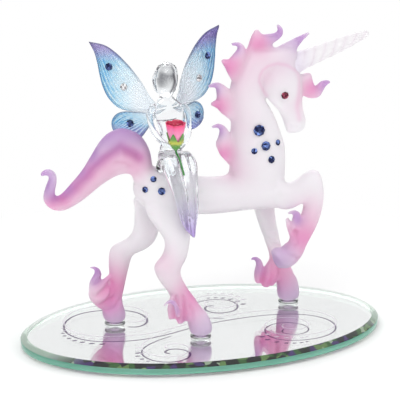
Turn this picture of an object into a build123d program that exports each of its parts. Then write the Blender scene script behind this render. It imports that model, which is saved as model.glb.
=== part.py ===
from build123d import *
import os
from math import cos, pi, radians, sin

# A frosted glass unicorn carries a clear glass fairy and stands on an oval bevelled mirror
# Millimetres; +Z is up, +X is where the unicorn faces, -Y is the side that the fairy faces
# The origin is under the middle of the base

# Mirror base
base_length = 152.4
base_width = 101.6
glass_thickness = 4.0
bevel_width = 2.5
bevel_depth = 1.3
silvering_thickness = 0.2
felt_thickness = 0.8
felt_margin = 5.0
print_thickness = 0.12
line_width = 0.55
dot_length = 2.2
dot_width = 1.1
disc_thickness = 1.2
disc_diameter = 8.4
fit_gap = 0.4
overrun = 10.0

# Unicorn
body_offset = 5.0
leg_length = 53.8
torso_length = 66.0
torso_breadth = 20.6
neck_length = 60.0
neck_breadth = 16.0
head_length = 28.0
head_breadth = 12.4
horn_length = 34.3
horn_diameter = 8.8
horn_turns = 3.0
tail_length = 40.0
tail_breadth = 9.6
lock_length = 20.0
lock_breadth = 5.2
spike_length = 14.0
forelock_length = 16.0
leg_breadth = 10.0
hoof_breadth = 9.0
tuft_breadth = 8.8

# Fairy
fairy_height = 40.0
fairy_depth = 8.0
fairy_head_height = 14.0
fairy_head_depth = 8.4
arm_diameter = 2.6
wing_span = 33.0
wing_thickness = 1.3
wing_sweep = 38.2
wing_turn = 7.7
wing_roll = 3.6
rose_height = 12.6
rose_diameter = 7.4
stem_diameter = 0.9
stem_length = 7.6

# Crystals, by the sizes in which flat-backed stones are sold
crystal_large = 4.7
crystal_medium = 3.9
crystal_small = 3.1
crystal_tiny = 2.6
crystal_sides = 8

# Points round a circle of radius one, which the trunk's ribs stretch to their own shape
round_steps = 8
round_turns = [2 * pi * step / round_steps for step in range(round_steps)]
round_points = [(cos(turn), sin(turn)) for turn in round_turns]

# How many places the printed lines are worked out at
line_steps = 60

# Places that the pieces share
silvering_level = felt_thickness
glass_level = silvering_level + silvering_thickness
mirror_level = glass_level + glass_thickness
foot_level = mirror_level + disc_thickness

barrel_share = 0.03
hip_share = -0.303
shoulder_share = 0.36
neck_root_share = 0.333
dock_shares = (-0.44, 0.09)
saddle_shares = (-0.288, 0.152)
barrel = Vector(torso_length * barrel_share, -body_offset, foot_level + leg_length)


def moved(start, size, shares):
    """The point that lies some shares of a size away from another point."""
    x_share, y_share, z_share = shares
    return start + Vector(x_share, y_share, z_share) * size


neck_root = moved(barrel, torso_length, (neck_root_share, 0, 0))
head_root = moved(neck_root, neck_length, (0.15, 0, 0.833))
dock = moved(barrel, torso_length, (dock_shares[0], 0, dock_shares[1]))
saddle = moved(barrel, torso_length, (saddle_shares[0], 0, saddle_shares[1]))
hip = moved(barrel, torso_length, (hip_share, 0, 0)) - Vector(0, 0, leg_length)
shoulder = moved(barrel, torso_length, (shoulder_share, 0, 0)) - Vector(0, 0, leg_length)


def filled_in(shares):
    """The rows of a table with one more between each two, on a smooth curve through the rows."""
    near_weight = 9 / 16
    far_weight = 1 / 16
    rows = []
    for number in range(len(shares) - 1):
        before = shares[max(number - 1, 0)]
        low = shares[number]
        high = shares[number + 1]
        after = shares[min(number + 2, len(shares) - 1)]
        rows.append(low)
        middle = [
            near_weight * (b + c) - far_weight * (a + d) for a, b, c, d in zip(before, low, high, after)
        ]
        rows.append(middle)
    rows.append(shares[-1])
    return rows


def ribbed(start, size, breadth, shares, trunk=False):
    """A glass form lofted through ribs that stand across the figure's profile.

    Each row gives a rib's two ends on the profile, as shares of the size in X and Z, then how far
    the rib lies to the side, as a share of the size, and how broad it is, as a share of the breadth.
    The trunk's ribs turn little, so they stand as given; a limb's have one more between each two.
    """
    rows = shares if trunk else filled_in(shares)
    with BuildPart() as form:
        for x_share, z_share, inner_x_share, inner_z_share, side_share, breadth_share in rows:
            outer = moved(start, size, (x_share, side_share, z_share))
            inner = moved(start, size, (inner_x_share, side_share, inner_z_share))
            chord = outer - inner
            across = chord.length / 2
            half_breadth = breadth * breadth_share / 2
            rib_way = chord.cross(Vector(0, 1, 0))
            with BuildSketch(Plane((outer + inner) / 2, x_dir=(0, 1, 0), z_dir=rib_way)):
                if trunk:
                    with BuildLine():
                        Spline(*round_points, periodic=True)
                    make_face()
                else:
                    Circle(1)
                scale(by=(half_breadth, across, 1))
        loft()
    return form.part


def tapered(start, size, diameter, shares):
    """A round glass rod lofted along a path.

    Each row gives a place on the path, as shares of the size, and the rod's diameter there, as a
    share of the rod's full diameter. Each circle's seam lies as near as it can to the one before.
    """
    places = [moved(start, size, row[:3]) for row in shares]
    seam_way = Vector(0, 1, 0)
    with BuildPart() as form:
        for number, row in enumerate(shares):
            before = places[max(number - 1, 0)]
            after = places[min(number + 1, len(places) - 1)]
            path_way = (after - before).normalized()
            seam_way = seam_way - path_way * seam_way.dot(path_way)
            with BuildSketch(Plane(places[number], x_dir=seam_way, z_dir=path_way)):
                Circle(diameter * row[3] / 2)
        loft()
    return form.part


def seat(plane, half_width, half_depth):
    """An oval prism outward from a plane, which cuts a flat place for another piece to stand on."""
    with BuildPart() as form:
        with BuildSketch(plane):
            Ellipse(half_width + fit_gap, half_depth + fit_gap)
        extrude(amount=overrun)
    return form.part


def pocket(start, size, shares, side, level):
    """A prism round the profile of a form's ribs, outward from an upright plane on one side."""
    outer = [(start.X + size * row[0], start.Z + size * row[1]) for row in shares]
    inner = [(start.X + size * row[2], start.Z + size * row[3]) for row in shares]
    with BuildPart() as form:
        with BuildSketch(Plane((0, level, 0), x_dir=(1, 0, 0), z_dir=(0, -1, 0))):
            Polygon(*outer, *reversed(inner), align=None)
            offset(amount=fit_gap, kind=Kind.INTERSECTION)
        extrude(amount=-side * (overrun + fit_gap))
    return form.part


def trimmed(form, *planes):
    """What lies on the side of each plane that its normal points to."""
    with BuildPart() as piece:
        add(form)
        for plane in planes:
            split(bisect_by=plane, keep=Keep.TOP)
    return piece.part


def upright_plane(start, size, low_shares, high_shares):
    """A plane across the profile through two places; its normal points to the figure's front."""
    low = moved(start, size, (low_shares[0], 0, low_shares[1]))
    high = moved(start, size, (high_shares[0], 0, high_shares[1]))
    rise = high - low
    return Plane(low, x_dir=(0, 1, 0), z_dir=(rise.Z, 0, -rise.X))


def crystal(seat, diameter):
    """A flat-backed stone: a girdle sunk into its seat, and a crown that narrows to a table."""
    sunk_share = 0.18
    girdle_share = 0.1
    crown_share = 0.26
    table_share = 0.6
    with BuildPart() as stone:
        with BuildSketch(seat.offset(-diameter * sunk_share)):
            RegularPolygon(diameter / 2, crystal_sides)
        extrude(amount=diameter * (sunk_share + girdle_share))
        with BuildSketch(seat.offset(diameter * girdle_share)):
            RegularPolygon(diameter / 2, crystal_sides)
        with BuildSketch(seat.offset(diameter * crown_share)):
            RegularPolygon(diameter * table_share / 2, crystal_sides)
        loft(ruled=True)
    return stone.part


def seat_on(form, point, side):
    """The plane on a form's skin where a line through a point leaves it on one side."""
    line = Axis(point, (0, side, 0))
    hits = [hit for face in form.faces() for hit in face.find_intersection_points(line)]
    place, normal = max(hits, key=lambda hit: hit[0].Y * side)
    if normal.Y * side < 0:
        normal = normal * -1
    return Plane(place, x_dir=(1, 0, 0), z_dir=normal)


def kept(name, piece):
    """Name a finished piece and write its file."""
    piece.label = name
    export_step(piece, "parts/" + name + ".step")


os.makedirs("parts", exist_ok=True)

# Base: bevelled glass, silvered underneath, on a thin felt pad
with BuildPart() as base_felt:
    with BuildSketch():
        Ellipse(base_length / 2 - felt_margin, base_width / 2 - felt_margin)
    extrude(amount=felt_thickness)
kept("base_felt", base_felt.part)

with BuildPart() as mirror_silvering:
    with BuildSketch(Plane.XY.offset(silvering_level)):
        Ellipse(base_length / 2 - bevel_width, base_width / 2 - bevel_width)
    extrude(amount=silvering_thickness)
kept("mirror_silvering", mirror_silvering.part)

with BuildPart() as mirror_glass:
    with BuildSketch(Plane.XY.offset(glass_level)):
        Ellipse(base_length / 2, base_width / 2)
    extrude(amount=glass_thickness - bevel_depth)
    with BuildSketch(Plane.XY.offset(mirror_level - bevel_depth)):
        Ellipse(base_length / 2, base_width / 2)
    with BuildSketch(Plane.XY.offset(mirror_level)):
        Ellipse(base_length / 2 - bevel_width, base_width / 2 - bevel_width)
    loft(ruled=True)
kept("mirror_glass", mirror_glass.part)

# Scroll ornament printed on the glass, in shares of the base's length
main_scroll_shares = [
    (-0.188, 0.066), (-0.156, 0.060), (-0.128, 0.088), (-0.118, 0.131), (-0.135, 0.187),
    (-0.180, 0.218), (-0.235, 0.228), (-0.290, 0.212), (-0.336, 0.163), (-0.357, 0.105),
    (-0.350, 0.035), (-0.315, -0.012), (-0.260, -0.038), (-0.190, -0.047), (-0.110, -0.031),
    (-0.031, -0.002), (0.034, 0.016), (0.105, 0.026), (0.185, 0.029), (0.256, 0.016),
    (0.313, -0.018), (0.341, -0.070), (0.338, -0.125), (0.310, -0.170), (0.260, -0.198),
    (0.205, -0.200), (0.158, -0.180), (0.137, -0.130), (0.150, -0.083), (0.190, -0.050),
    (0.234, -0.055), (0.261, -0.090), (0.256, -0.130), (0.215, -0.152), (0.186, -0.132),
    (0.196, -0.102),
]
low_scroll_shares = [
    (-0.159, -0.178), (-0.165, -0.163), (-0.150, -0.149), (-0.124, -0.154), (-0.108, -0.182),
    (-0.118, -0.218), (-0.160, -0.242), (-0.202, -0.229), (-0.227, -0.180), (-0.218, -0.132),
    (-0.186, -0.093), (-0.142, -0.064), (-0.108, -0.048),
]
high_scroll_shares = [
    (0.093, 0.155), (0.074, 0.158), (0.060, 0.135), (0.068, 0.104), (0.096, 0.089),
    (0.130, 0.097), (0.156, 0.135), (0.155, 0.178), (0.120, 0.208), (0.070, 0.206),
    (0.028, 0.181), (0.007, 0.140), (0.013, 0.095), (0.041, 0.062), (0.078, 0.041),
]
dot_shares = [
    (-0.370, 0.077, 0.55), (-0.372, 0.054, 0.6), (-0.367, 0.030, 0.7), (-0.358, 0.008, 0.8),
    (-0.343, -0.012, 0.9), (-0.323, -0.031, 1.0), (-0.298, -0.045, 1.0), (-0.234, -0.145, 0.9),
    (-0.242, -0.168, 0.8), (-0.239, -0.193, 0.65), (-0.230, -0.214, 0.5), (0.105, 0.228, 0.55),
    (0.125, 0.224, 0.65), (0.143, 0.214, 0.8), (0.160, 0.197, 0.9), (0.172, 0.172, 0.9),
    (0.176, 0.142, 1.0), (0.118, -0.138, 1.0), (0.123, -0.165, 0.95), (0.138, -0.191, 0.85),
    (0.158, -0.208, 0.75), (0.178, -0.216, 0.65), (0.197, -0.219, 0.55), (0.214, -0.217, 0.5),
]


def printed_line(shares):
    """A flat ribbon of ink that follows a curve through the given places and thins at its end."""
    blunt_share = 0.35
    places = [(x_share * base_length, y_share * base_length) for x_share, y_share in shares]
    with BuildLine(mode=Mode.PRIVATE):
        route = Spline(*places)
    left_side = []
    right_side = []
    for step in range(line_steps + 1):
        along = step / line_steps
        tangent = route % along
        half_width = line_width / 2 * (1 - (1 - blunt_share) * along)
        normal = Vector(-tangent.Y, tangent.X, 0) * half_width
        left_side.append((route @ along) + normal)
        right_side.append((route @ along) - normal)
    with BuildPart() as ribbon:
        with BuildSketch(Plane.XY.offset(mirror_level)):
            with BuildLine():
                upper = Spline(*[(point.X, point.Y) for point in left_side])
                lower = Spline(*[(point.X, point.Y) for point in right_side])
                Line(upper @ 0, lower @ 0)
                Line(upper @ 1, lower @ 1)
            make_face()
        extrude(amount=print_thickness)
    return ribbon.part


scroll_shares = (main_scroll_shares, low_scroll_shares, high_scroll_shares)
scroll_forms = [printed_line(shares) for shares in scroll_shares]

# Feet: where each standing hoof meets its disc, in shares of the leg's length
far_hind_foot_shares = (-0.308, 0.275)
near_hind_foot_shares = (0.192, -0.249)
far_fore_foot_shares = (0.331, 0.316)


def disc(name, start, shares):
    """The clear disc of glass that joins one hoof to the mirror."""
    place = moved(start, leg_length, (shares[0], shares[1], 0))
    rim_share = 0.3
    with BuildPart() as piece:
        with BuildSketch(Plane((place.X, place.Y, mirror_level))):
            Circle(disc_diameter / 2)
        extrude(amount=disc_thickness)
        fillet(piece.edges().filter_by(GeomType.CIRCLE), disc_thickness * rim_share)
    kept(name, piece.part)
    return piece.part


disc_forms = [
    disc("disc_far_hind", hip, far_hind_foot_shares),
    disc("disc_near_hind", hip, near_hind_foot_shares),
    disc("disc_far_fore", shoulder, far_fore_foot_shares),
]

with BuildPart() as scroll_lines:
    add(scroll_forms)
    add(disc_forms, mode=Mode.SUBTRACT)
kept("scroll_lines", scroll_lines.part)

with BuildPart() as scroll_dots:
    for x_share, y_share, dot_share in dot_shares:
        with BuildSketch(Plane((base_length * x_share, base_length * y_share, mirror_level))):
            Ellipse(dot_length * dot_share / 2, dot_width * dot_share / 2)
    extrude(amount=print_thickness)
kept("scroll_dots", scroll_dots.part)

# Unicorn's trunk, whose pieces meet on flat faces
torso_form = ribbed(barrel, torso_length, torso_breadth, [
    (-0.4985, 0.104, -0.4985, 0.066, 0, 0.14),
    (-0.475, 0.175, -0.475, 0.008, 0, 0.52),
    (-0.425, 0.207, -0.425, -0.040, 0, 0.84),
    (-0.345, 0.203, -0.345, -0.073, 0, 1.0),
    (-0.256, 0.181, -0.256, -0.091, 0, 1.0),
    (-0.120, 0.130, -0.120, -0.108, 0, 0.87),
    (0.040, 0.104, 0.040, -0.117, 0, 0.80),
    (0.200, 0.111, 0.200, -0.112, 0, 0.85),
    (0.361, 0.108, 0.361, -0.115, 0, 0.88),
    (0.441, 0.075, 0.441, -0.112, 0, 0.72),
    (0.485, 0.040, 0.485, -0.080, 0, 0.44),
    (0.498, 0.005, 0.498, -0.045, 0, 0.16),
], trunk=True)
neck_form = ribbed(neck_root, neck_length, neck_breadth, [
    (-0.225, 0.020, 0.158, -0.015, 0, 0.94),
    (-0.235, 0.160, 0.158, 0.125, 0, 1.0),
    (-0.230, 0.320, 0.157, 0.290, 0, 0.93),
    (-0.222, 0.425, 0.135, 0.400, 0, 0.86),
    (-0.220, 0.530, 0.075, 0.540, 0, 0.78),
    (-0.228, 0.665, -0.005, 0.655, 0, 0.70),
], trunk=True)
poll_form = ribbed(neck_root, neck_length, neck_breadth, [
    (-0.228, 0.665, -0.005, 0.655, 0, 0.70),
    (-0.215, 0.810, -0.006, 0.745, 0, 0.66),
    (-0.130, 0.950, 0.035, 0.805, 0, 0.66),
    (0.005, 1.020, 0.095, 0.838, 0, 0.66),
    (0.140, 0.995, 0.148, 0.840, 0, 0.62),
    (0.240, 0.950, 0.205, 0.830, 0, 0.50),
], trunk=True)
head_form = ribbed(head_root, head_length, head_breadth, [
    (-0.120, 0.110, 0.190, 0.150, 0, 0.70),
    (-0.275, -0.010, 0.248, 0.010, 0, 0.92),
    (-0.335, -0.185, 0.262, -0.180, 0, 1.0),
    (-0.320, -0.355, 0.275, -0.350, 0, 0.95),
    (-0.235, -0.500, 0.285, -0.480, 0, 0.80),
    (-0.110, -0.625, 0.292, -0.590, 0, 0.69),
    (-0.015, -0.740, 0.325, -0.705, 0, 0.62),
    (0.025, -0.860, 0.360, -0.815, 0, 0.58),
    (0.050, -0.940, 0.340, -0.915, 0, 0.44),
    (0.120, -0.985, 0.270, -0.975, 0, 0.18),
], trunk=True)

# Flat joints: the neck on the torso, the crest under each lock, the brow under the forelock
chest_plane = upright_plane(neck_root, neck_length, (0.183, -0.027), (-0.25, 0.122))
crest_plane = upright_plane(neck_root, neck_length, (-0.218, 0.20), (-0.218, 0.60))
nape_plane = upright_plane(neck_root, neck_length, (-0.213, 0.742), (-0.083, 0.992))
brow_plane = upright_plane(head_root, head_length, (0.371, -0.821), (0.200, 0.071))
crown_level = moved(neck_root, neck_length, (0, 0, 0.958))
crown_plane = Plane(crown_level, x_dir=(1, 0, 0), z_dir=(0, 0, 1))

# Horn: a tapering rod of two strands twisted together, on a flat place on the brow
horn_way = Vector(0.953, 0, 0.302)
horn_root = moved(head_root, head_length, (0.168, 0, 0.046))
horn_seat = seat(Plane(horn_root, x_dir=(0, 1, 0), z_dir=horn_way), horn_diameter / 2, horn_diameter / 2)
horn_stations = 24
horn_flat_share = 0.86
horn_tip_share = 0.34
with BuildPart() as unicorn_horn:
    for station in range(horn_stations + 1):
        along = station / horn_stations
        width = horn_diameter * (1 - (1 - horn_tip_share) * along)
        turn = 2 * pi * horn_turns * along
        place = horn_root + horn_way * (horn_length * along)
        level = Plane(place, x_dir=(0, 1, 0), z_dir=horn_way)
        turned_way = level.x_dir * cos(turn) + level.y_dir * sin(turn)
        with BuildSketch(Plane(place, x_dir=turned_way, z_dir=horn_way)):
            Circle(1)
            scale(by=(width / 2, width * horn_flat_share / 2, 1))
    loft()
kept("unicorn_horn", unicorn_horn.part)

# Tail: it stands on a flat place on the dock, arches up and back, and ends in an upward hook
tail_shares = [
    (0.083, 0.160, -0.060, 0.000, 0, 0.90),
    (0.083, 0.241, -0.095, 0.043, 0, 0.96),
    (0.063, 0.374, -0.096, 0.088, 0, 1.0),
    (-0.035, 0.534, -0.116, 0.128, 0, 0.98),
    (-0.225, 0.612, -0.170, 0.150, 0, 0.94),
    (-0.395, 0.545, -0.255, 0.140, 0, 0.90),
    (-0.507, 0.400, -0.356, 0.101, 0, 0.84),
    (-0.622, 0.230, -0.481, 0.026, 0, 0.76),
    (-0.736, 0.105, -0.616, -0.073, 0, 0.68),
    (-0.836, 0.005, -0.756, -0.147, 0, 0.62),
    (-0.896, -0.025, -0.878, -0.172, 0, 0.57),
    (-0.920, 0.008, -0.985, -0.120, 0, 0.52),
    (-0.912, 0.065, -1.027, -0.030, 0, 0.46),
    (-0.895, 0.133, -0.996, 0.082, 0, 0.40),
    (-0.897, 0.205, -0.963, 0.160, 0, 0.34),
    (-0.942, 0.254, -0.973, 0.198, 0, 0.28),
    (-1.005, 0.259, -1.011, 0.204, 0, 0.24),
    (-1.049, 0.232, -1.052, 0.195, 0, 0.15),
]
unicorn_tail = ribbed(dock, tail_length, tail_breadth, tail_shares)
tail_high = moved(dock, tail_length, (tail_shares[0][0], 0, tail_shares[0][1]))
tail_low = moved(dock, tail_length, (tail_shares[0][2], 0, tail_shares[0][3]))
tail_chord = tail_high - tail_low
tail_plane = Plane((tail_high + tail_low) / 2, x_dir=(0, 1, 0), z_dir=(-tail_chord.Z, 0, tail_chord.X))
tail_seat_share = 0.72
tail_seat = seat(tail_plane, tail_breadth / 2, tail_chord.length * tail_seat_share)
kept("unicorn_tail", unicorn_tail)


# Mane: locks along the crest, each a lobe whose upper end draws out into a curled hook
def lock_place(x_share, z_share):
    """A place on the neck where a lock grows, in shares of the neck's length."""
    return moved(neck_root, neck_length, (x_share, 0, z_share))


low_lock_form = ribbed(lock_place(-0.25, 0.20), lock_length, lock_breadth, [
    (0.050, -0.088, 0.267, -0.003, 0, 0.78),
    (-0.080, 0.172, 0.265, 0.267, 0, 0.94),
    (-0.205, 0.405, 0.243, 0.475, 0, 1.0),
    (-0.188, 0.600, 0.090, 0.630, 0, 0.80),
    (-0.195, 0.740, -0.100, 0.800, 0, 0.50),
    (-0.290, 0.776, -0.284, 0.814, 0, 0.22),
])
middle_lock_form = ribbed(lock_place(-0.25, 0.583), lock_length, lock_breadth, [
    (0.000, -0.270, 0.330, -0.195, 0, 0.78),
    (-0.137, -0.060, 0.346, 0.056, 0, 0.94),
    (-0.300, 0.100, 0.259, 0.185, 0, 1.0),
    (-0.270, 0.270, 0.035, 0.310, 0, 0.80),
    (-0.262, 0.410, -0.140, 0.485, 0, 0.54),
    (-0.356, 0.463, -0.350, 0.501, 0, 0.22),
])
high_lock_form = ribbed(lock_place(-0.20, 0.833), lock_length, lock_breadth, [
    (-0.120, -0.185, 0.245, -0.129, 0, 0.78),
    (-0.220, 0.047, 0.256, 0.075, 0, 0.94),
    (-0.230, 0.205, 0.235, 0.237, 0, 1.0),
    (-0.050, 0.335, 0.190, 0.350, 0, 0.80),
    (0.010, 0.440, 0.120, 0.490, 0, 0.54),
    (-0.035, 0.508, -0.025, 0.546, 0, 0.22),
])
crown_lock_form = ribbed(lock_place(-0.067, 0.95), lock_length, lock_breadth, [
    (-0.210, -0.107, 0.150, -0.216, 0, 0.92),
    (-0.150, 0.131, 0.264, -0.059, 0, 1.0),
    (-0.062, 0.322, 0.350, -0.004, 0, 1.0),
    (0.088, 0.405, 0.415, 0.012, 0, 0.98),
    (0.200, 0.375, 0.480, 0.025, 0, 0.91),
    (0.300, 0.340, 0.545, 0.065, 0, 0.82),
    (0.400, 0.358, 0.605, 0.165, 0, 0.70),
    (0.470, 0.415, 0.620, 0.313, 0, 0.54),
    (0.487, 0.462, 0.578, 0.436, 0, 0.34),
    (0.496, 0.482, 0.532, 0.486, 0, 0.18),
])
spike_form = ribbed(lock_place(0.20, 0.95), spike_length, lock_breadth, [
    (-0.302, 0.030, 0.044, -0.283, 0, 0.92),
    (-0.180, 0.176, 0.166, -0.073, 0, 0.80),
    (0.037, 0.270, 0.273, 0.124, 0, 0.58),
    (0.270, 0.348, 0.390, 0.276, 0, 0.34),
    (0.468, 0.409, 0.500, 0.383, 0, 0.15),
])
forelock_form = ribbed(moved(head_root, head_length, (0.32, 0, -0.214)), forelock_length, lock_breadth, [
    (-0.163, 0.100, 0.225, 0.200, 0.062, 0.84),
    (-0.100, -0.053, 0.260, -0.026, 0.062, 0.90),
    (-0.022, -0.350, 0.336, -0.245, 0.062, 0.90),
    (0.085, -0.450, 0.370, -0.232, 0.062, 0.86),
    (0.225, -0.492, 0.400, -0.195, 0.062, 0.80),
    (0.440, -0.475, 0.450, -0.120, 0.062, 0.66),
    (0.540, -0.330, 0.513, -0.080, 0.062, 0.54),
    (0.612, -0.206, 0.624, -0.060, 0.062, 0.40),
    (0.695, -0.150, 0.712, -0.067, 0.062, 0.30),
    (0.772, -0.130, 0.776, -0.098, 0.062, 0.15),
])
kept("mane_low_lock", trimmed(low_lock_form, -crest_plane))
kept("mane_middle_lock", trimmed(middle_lock_form, -crest_plane))
kept("mane_high_lock", trimmed(high_lock_form, -nape_plane))
kept("mane_crown_lock", trimmed(crown_lock_form, crown_plane))
kept("mane_spike", trimmed(spike_form, crown_plane))
kept("forelock", trimmed(forelock_form, brow_plane))

# Legs, in shares of their length from the foot up; each hoof starts on its leg's last rib
far_hind_shares = [
    (-0.200, 1.000, 0.010, 0.980, 0.100, 0.88),
    (-0.187, 0.860, 0.010, 0.800, 0.135, 0.92),
    (-0.190, 0.725, -0.020, 0.637, 0.170, 0.76),
    (-0.250, 0.655, -0.106, 0.565, 0.192, 0.70),
    (-0.345, 0.610, -0.185, 0.532, 0.214, 0.71),
    (-0.366, 0.520, -0.200, 0.475, 0.228, 0.72),
    (-0.354, 0.403, -0.219, 0.385, 0.242, 0.66),
    (-0.342, 0.297, -0.236, 0.297, 0.253, 0.58),
    (-0.344, 0.240, -0.246, 0.240, 0.260, 0.55),
    (-0.352, 0.185, -0.256, 0.185, 0.266, 0.54),
]
near_hind_shares = [
    (-0.205, 1.010, 0.120, 1.010, -0.105, 0.90),
    (-0.170, 0.900, 0.146, 0.885, -0.138, 1.04),
    (-0.085, 0.776, 0.133, 0.762, -0.175, 0.94),
    (-0.060, 0.693, 0.119, 0.683, -0.190, 0.82),
    (-0.100, 0.612, 0.092, 0.585, -0.203, 0.77),
    (-0.162, 0.555, 0.042, 0.515, -0.212, 0.74),
    (-0.134, 0.460, 0.050, 0.450, -0.221, 0.68),
    (-0.072, 0.372, 0.080, 0.392, -0.227, 0.64),
    (-0.012, 0.284, 0.120, 0.324, -0.234, 0.62),
    (0.052, 0.182, 0.196, 0.218, -0.244, 0.65),
]
far_fore_shares = [
    (-0.093, 0.960, 0.118, 0.935, 0.100, 0.92),
    (-0.046, 0.845, 0.124, 0.822, 0.130, 0.84),
    (-0.019, 0.775, 0.140, 0.756, 0.153, 0.78),
    (0.010, 0.704, 0.160, 0.690, 0.177, 0.72),
    (0.068, 0.573, 0.202, 0.560, 0.214, 0.62),
    (0.122, 0.455, 0.236, 0.460, 0.242, 0.55),
    (0.148, 0.388, 0.268, 0.402, 0.257, 0.56),
    (0.164, 0.339, 0.289, 0.360, 0.266, 0.60),
    (0.182, 0.290, 0.312, 0.317, 0.275, 0.64),
    (0.217, 0.200, 0.352, 0.238, 0.290, 0.68),
]
near_fore_shares = [
    (0.019, 0.895, 0.050, 1.085, -0.100, 0.94),
    (0.094, 0.868, 0.132, 1.067, -0.120, 0.92),
    (0.161, 0.884, 0.191, 1.089, -0.145, 0.86),
    (0.216, 0.915, 0.275, 1.160, -0.167, 0.80),
    (0.240, 0.925, 0.350, 1.160, -0.178, 0.76),
    (0.242, 0.908, 0.387, 1.040, -0.186, 0.73),
    (0.232, 0.870, 0.386, 0.905, -0.188, 0.70),
    (0.200, 0.780, 0.345, 0.755, -0.188, 0.67),
    (0.142, 0.668, 0.278, 0.630, -0.188, 0.62),
    (0.110, 0.612, 0.235, 0.562, -0.188, 0.60),
]
far_hind_hoof_shares = [
    (-0.352, 0.185, -0.256, 0.185, 0.266, 0.60),
    (-0.392, 0.120, -0.252, 0.128, 0.273, 0.88),
    (-0.399, 0.066, -0.230, 0.062, 0.275, 1.0),
    (-0.386, 0.020, -0.232, 0.020, 0.275, 0.94),
    (-0.374, 0.000, -0.242, 0.000, 0.275, 0.84),
]
near_hind_hoof_shares = [
    (0.052, 0.182, 0.196, 0.218, -0.244, 0.72),
    (0.090, 0.120, 0.244, 0.142, -0.247, 0.92),
    (0.107, 0.066, 0.272, 0.062, -0.249, 1.0),
    (0.114, 0.020, 0.268, 0.020, -0.249, 0.94),
    (0.126, 0.000, 0.256, 0.000, -0.249, 0.84),
]
far_fore_hoof_shares = [
    (0.217, 0.200, 0.352, 0.238, 0.290, 0.75),
    (0.235, 0.125, 0.392, 0.158, 0.305, 0.90),
    (0.246, 0.067, 0.411, 0.070, 0.314, 0.98),
    (0.252, 0.020, 0.410, 0.020, 0.316, 0.92),
    (0.262, 0.000, 0.400, 0.000, 0.316, 0.82),
]
near_fore_hoof_shares = [
    (0.110, 0.612, 0.235, 0.562, -0.188, 0.67),
    (0.078, 0.590, 0.205, 0.508, -0.188, 0.86),
    (0.030, 0.583, 0.161, 0.457, -0.188, 0.98),
    (-0.002, 0.576, 0.115, 0.427, -0.188, 0.94),
    (-0.018, 0.562, 0.084, 0.418, -0.188, 0.82),
]

# Fetlock tufts: each stands on the back of its hoof and draws out into a curled hook
far_hind_tuft_shares = [
    (-0.385, 0.085, -0.345, 0.165, 0.270, 0.62),
    (-0.430, 0.125, -0.368, 0.205, 0.266, 0.90),
    (-0.470, 0.170, -0.380, 0.250, 0.262, 1.0),
    (-0.505, 0.228, -0.392, 0.300, 0.256, 0.92),
    (-0.525, 0.295, -0.408, 0.340, 0.249, 0.72),
    (-0.512, 0.350, -0.414, 0.366, 0.245, 0.50),
    (-0.490, 0.390, -0.416, 0.397, 0.245, 0.38),
    (-0.483, 0.422, -0.438, 0.441, 0.245, 0.29),
    (-0.498, 0.437, -0.472, 0.461, 0.245, 0.21),
    (-0.507, 0.447, -0.501, 0.459, 0.245, 0.11),
]
near_hind_tuft_shares = [
    (0.108, 0.100, 0.078, 0.172, -0.246, 0.62),
    (0.040, 0.098, 0.042, 0.185, -0.246, 0.88),
    (-0.010, 0.115, 0.022, 0.205, -0.248, 1.0),
    (-0.045, 0.145, 0.010, 0.226, -0.250, 0.96),
    (-0.062, 0.200, -0.006, 0.250, -0.256, 0.80),
    (-0.066, 0.245, -0.022, 0.280, -0.262, 0.60),
    (-0.080, 0.268, -0.045, 0.308, -0.268, 0.44),
    (-0.092, 0.273, -0.066, 0.309, -0.270, 0.33),
    (-0.104, 0.276, -0.087, 0.302, -0.272, 0.23),
    (-0.118, 0.277, -0.111, 0.291, -0.274, 0.12),
]
far_fore_tuft_shares = [
    (0.250, 0.095, 0.236, 0.170, 0.296, 0.62),
    (0.170, 0.108, 0.195, 0.215, 0.288, 0.90),
    (0.095, 0.128, 0.155, 0.262, 0.278, 1.0),
    (0.035, 0.153, 0.135, 0.285, 0.270, 0.86),
    (0.009, 0.208, 0.116, 0.296, 0.264, 0.62),
    (0.022, 0.265, 0.107, 0.305, 0.264, 0.46),
    (0.036, 0.321, 0.093, 0.335, 0.264, 0.36),
    (0.023, 0.358, 0.065, 0.378, 0.264, 0.27),
    (-0.001, 0.378, 0.018, 0.400, 0.264, 0.19),
    (-0.012, 0.386, -0.007, 0.396, 0.264, 0.11),
]
near_fore_tuft_shares = [
    (0.055, 0.570, 0.098, 0.590, -0.188, 0.60),
    (0.050, 0.630, 0.104, 0.636, -0.184, 0.80),
    (0.072, 0.690, 0.128, 0.690, -0.178, 0.82),
    (0.079, 0.718, 0.144, 0.719, -0.175, 0.76),
    (0.085, 0.745, 0.160, 0.748, -0.172, 0.68),
    (0.098, 0.790, 0.180, 0.805, -0.170, 0.52),
    (0.125, 0.820, 0.187, 0.838, -0.170, 0.38),
    (0.138, 0.842, 0.175, 0.866, -0.170, 0.26),
    (0.119, 0.855, 0.134, 0.877, -0.170, 0.17),
    (0.097, 0.857, 0.101, 0.868, -0.170, 0.09),
]


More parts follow.
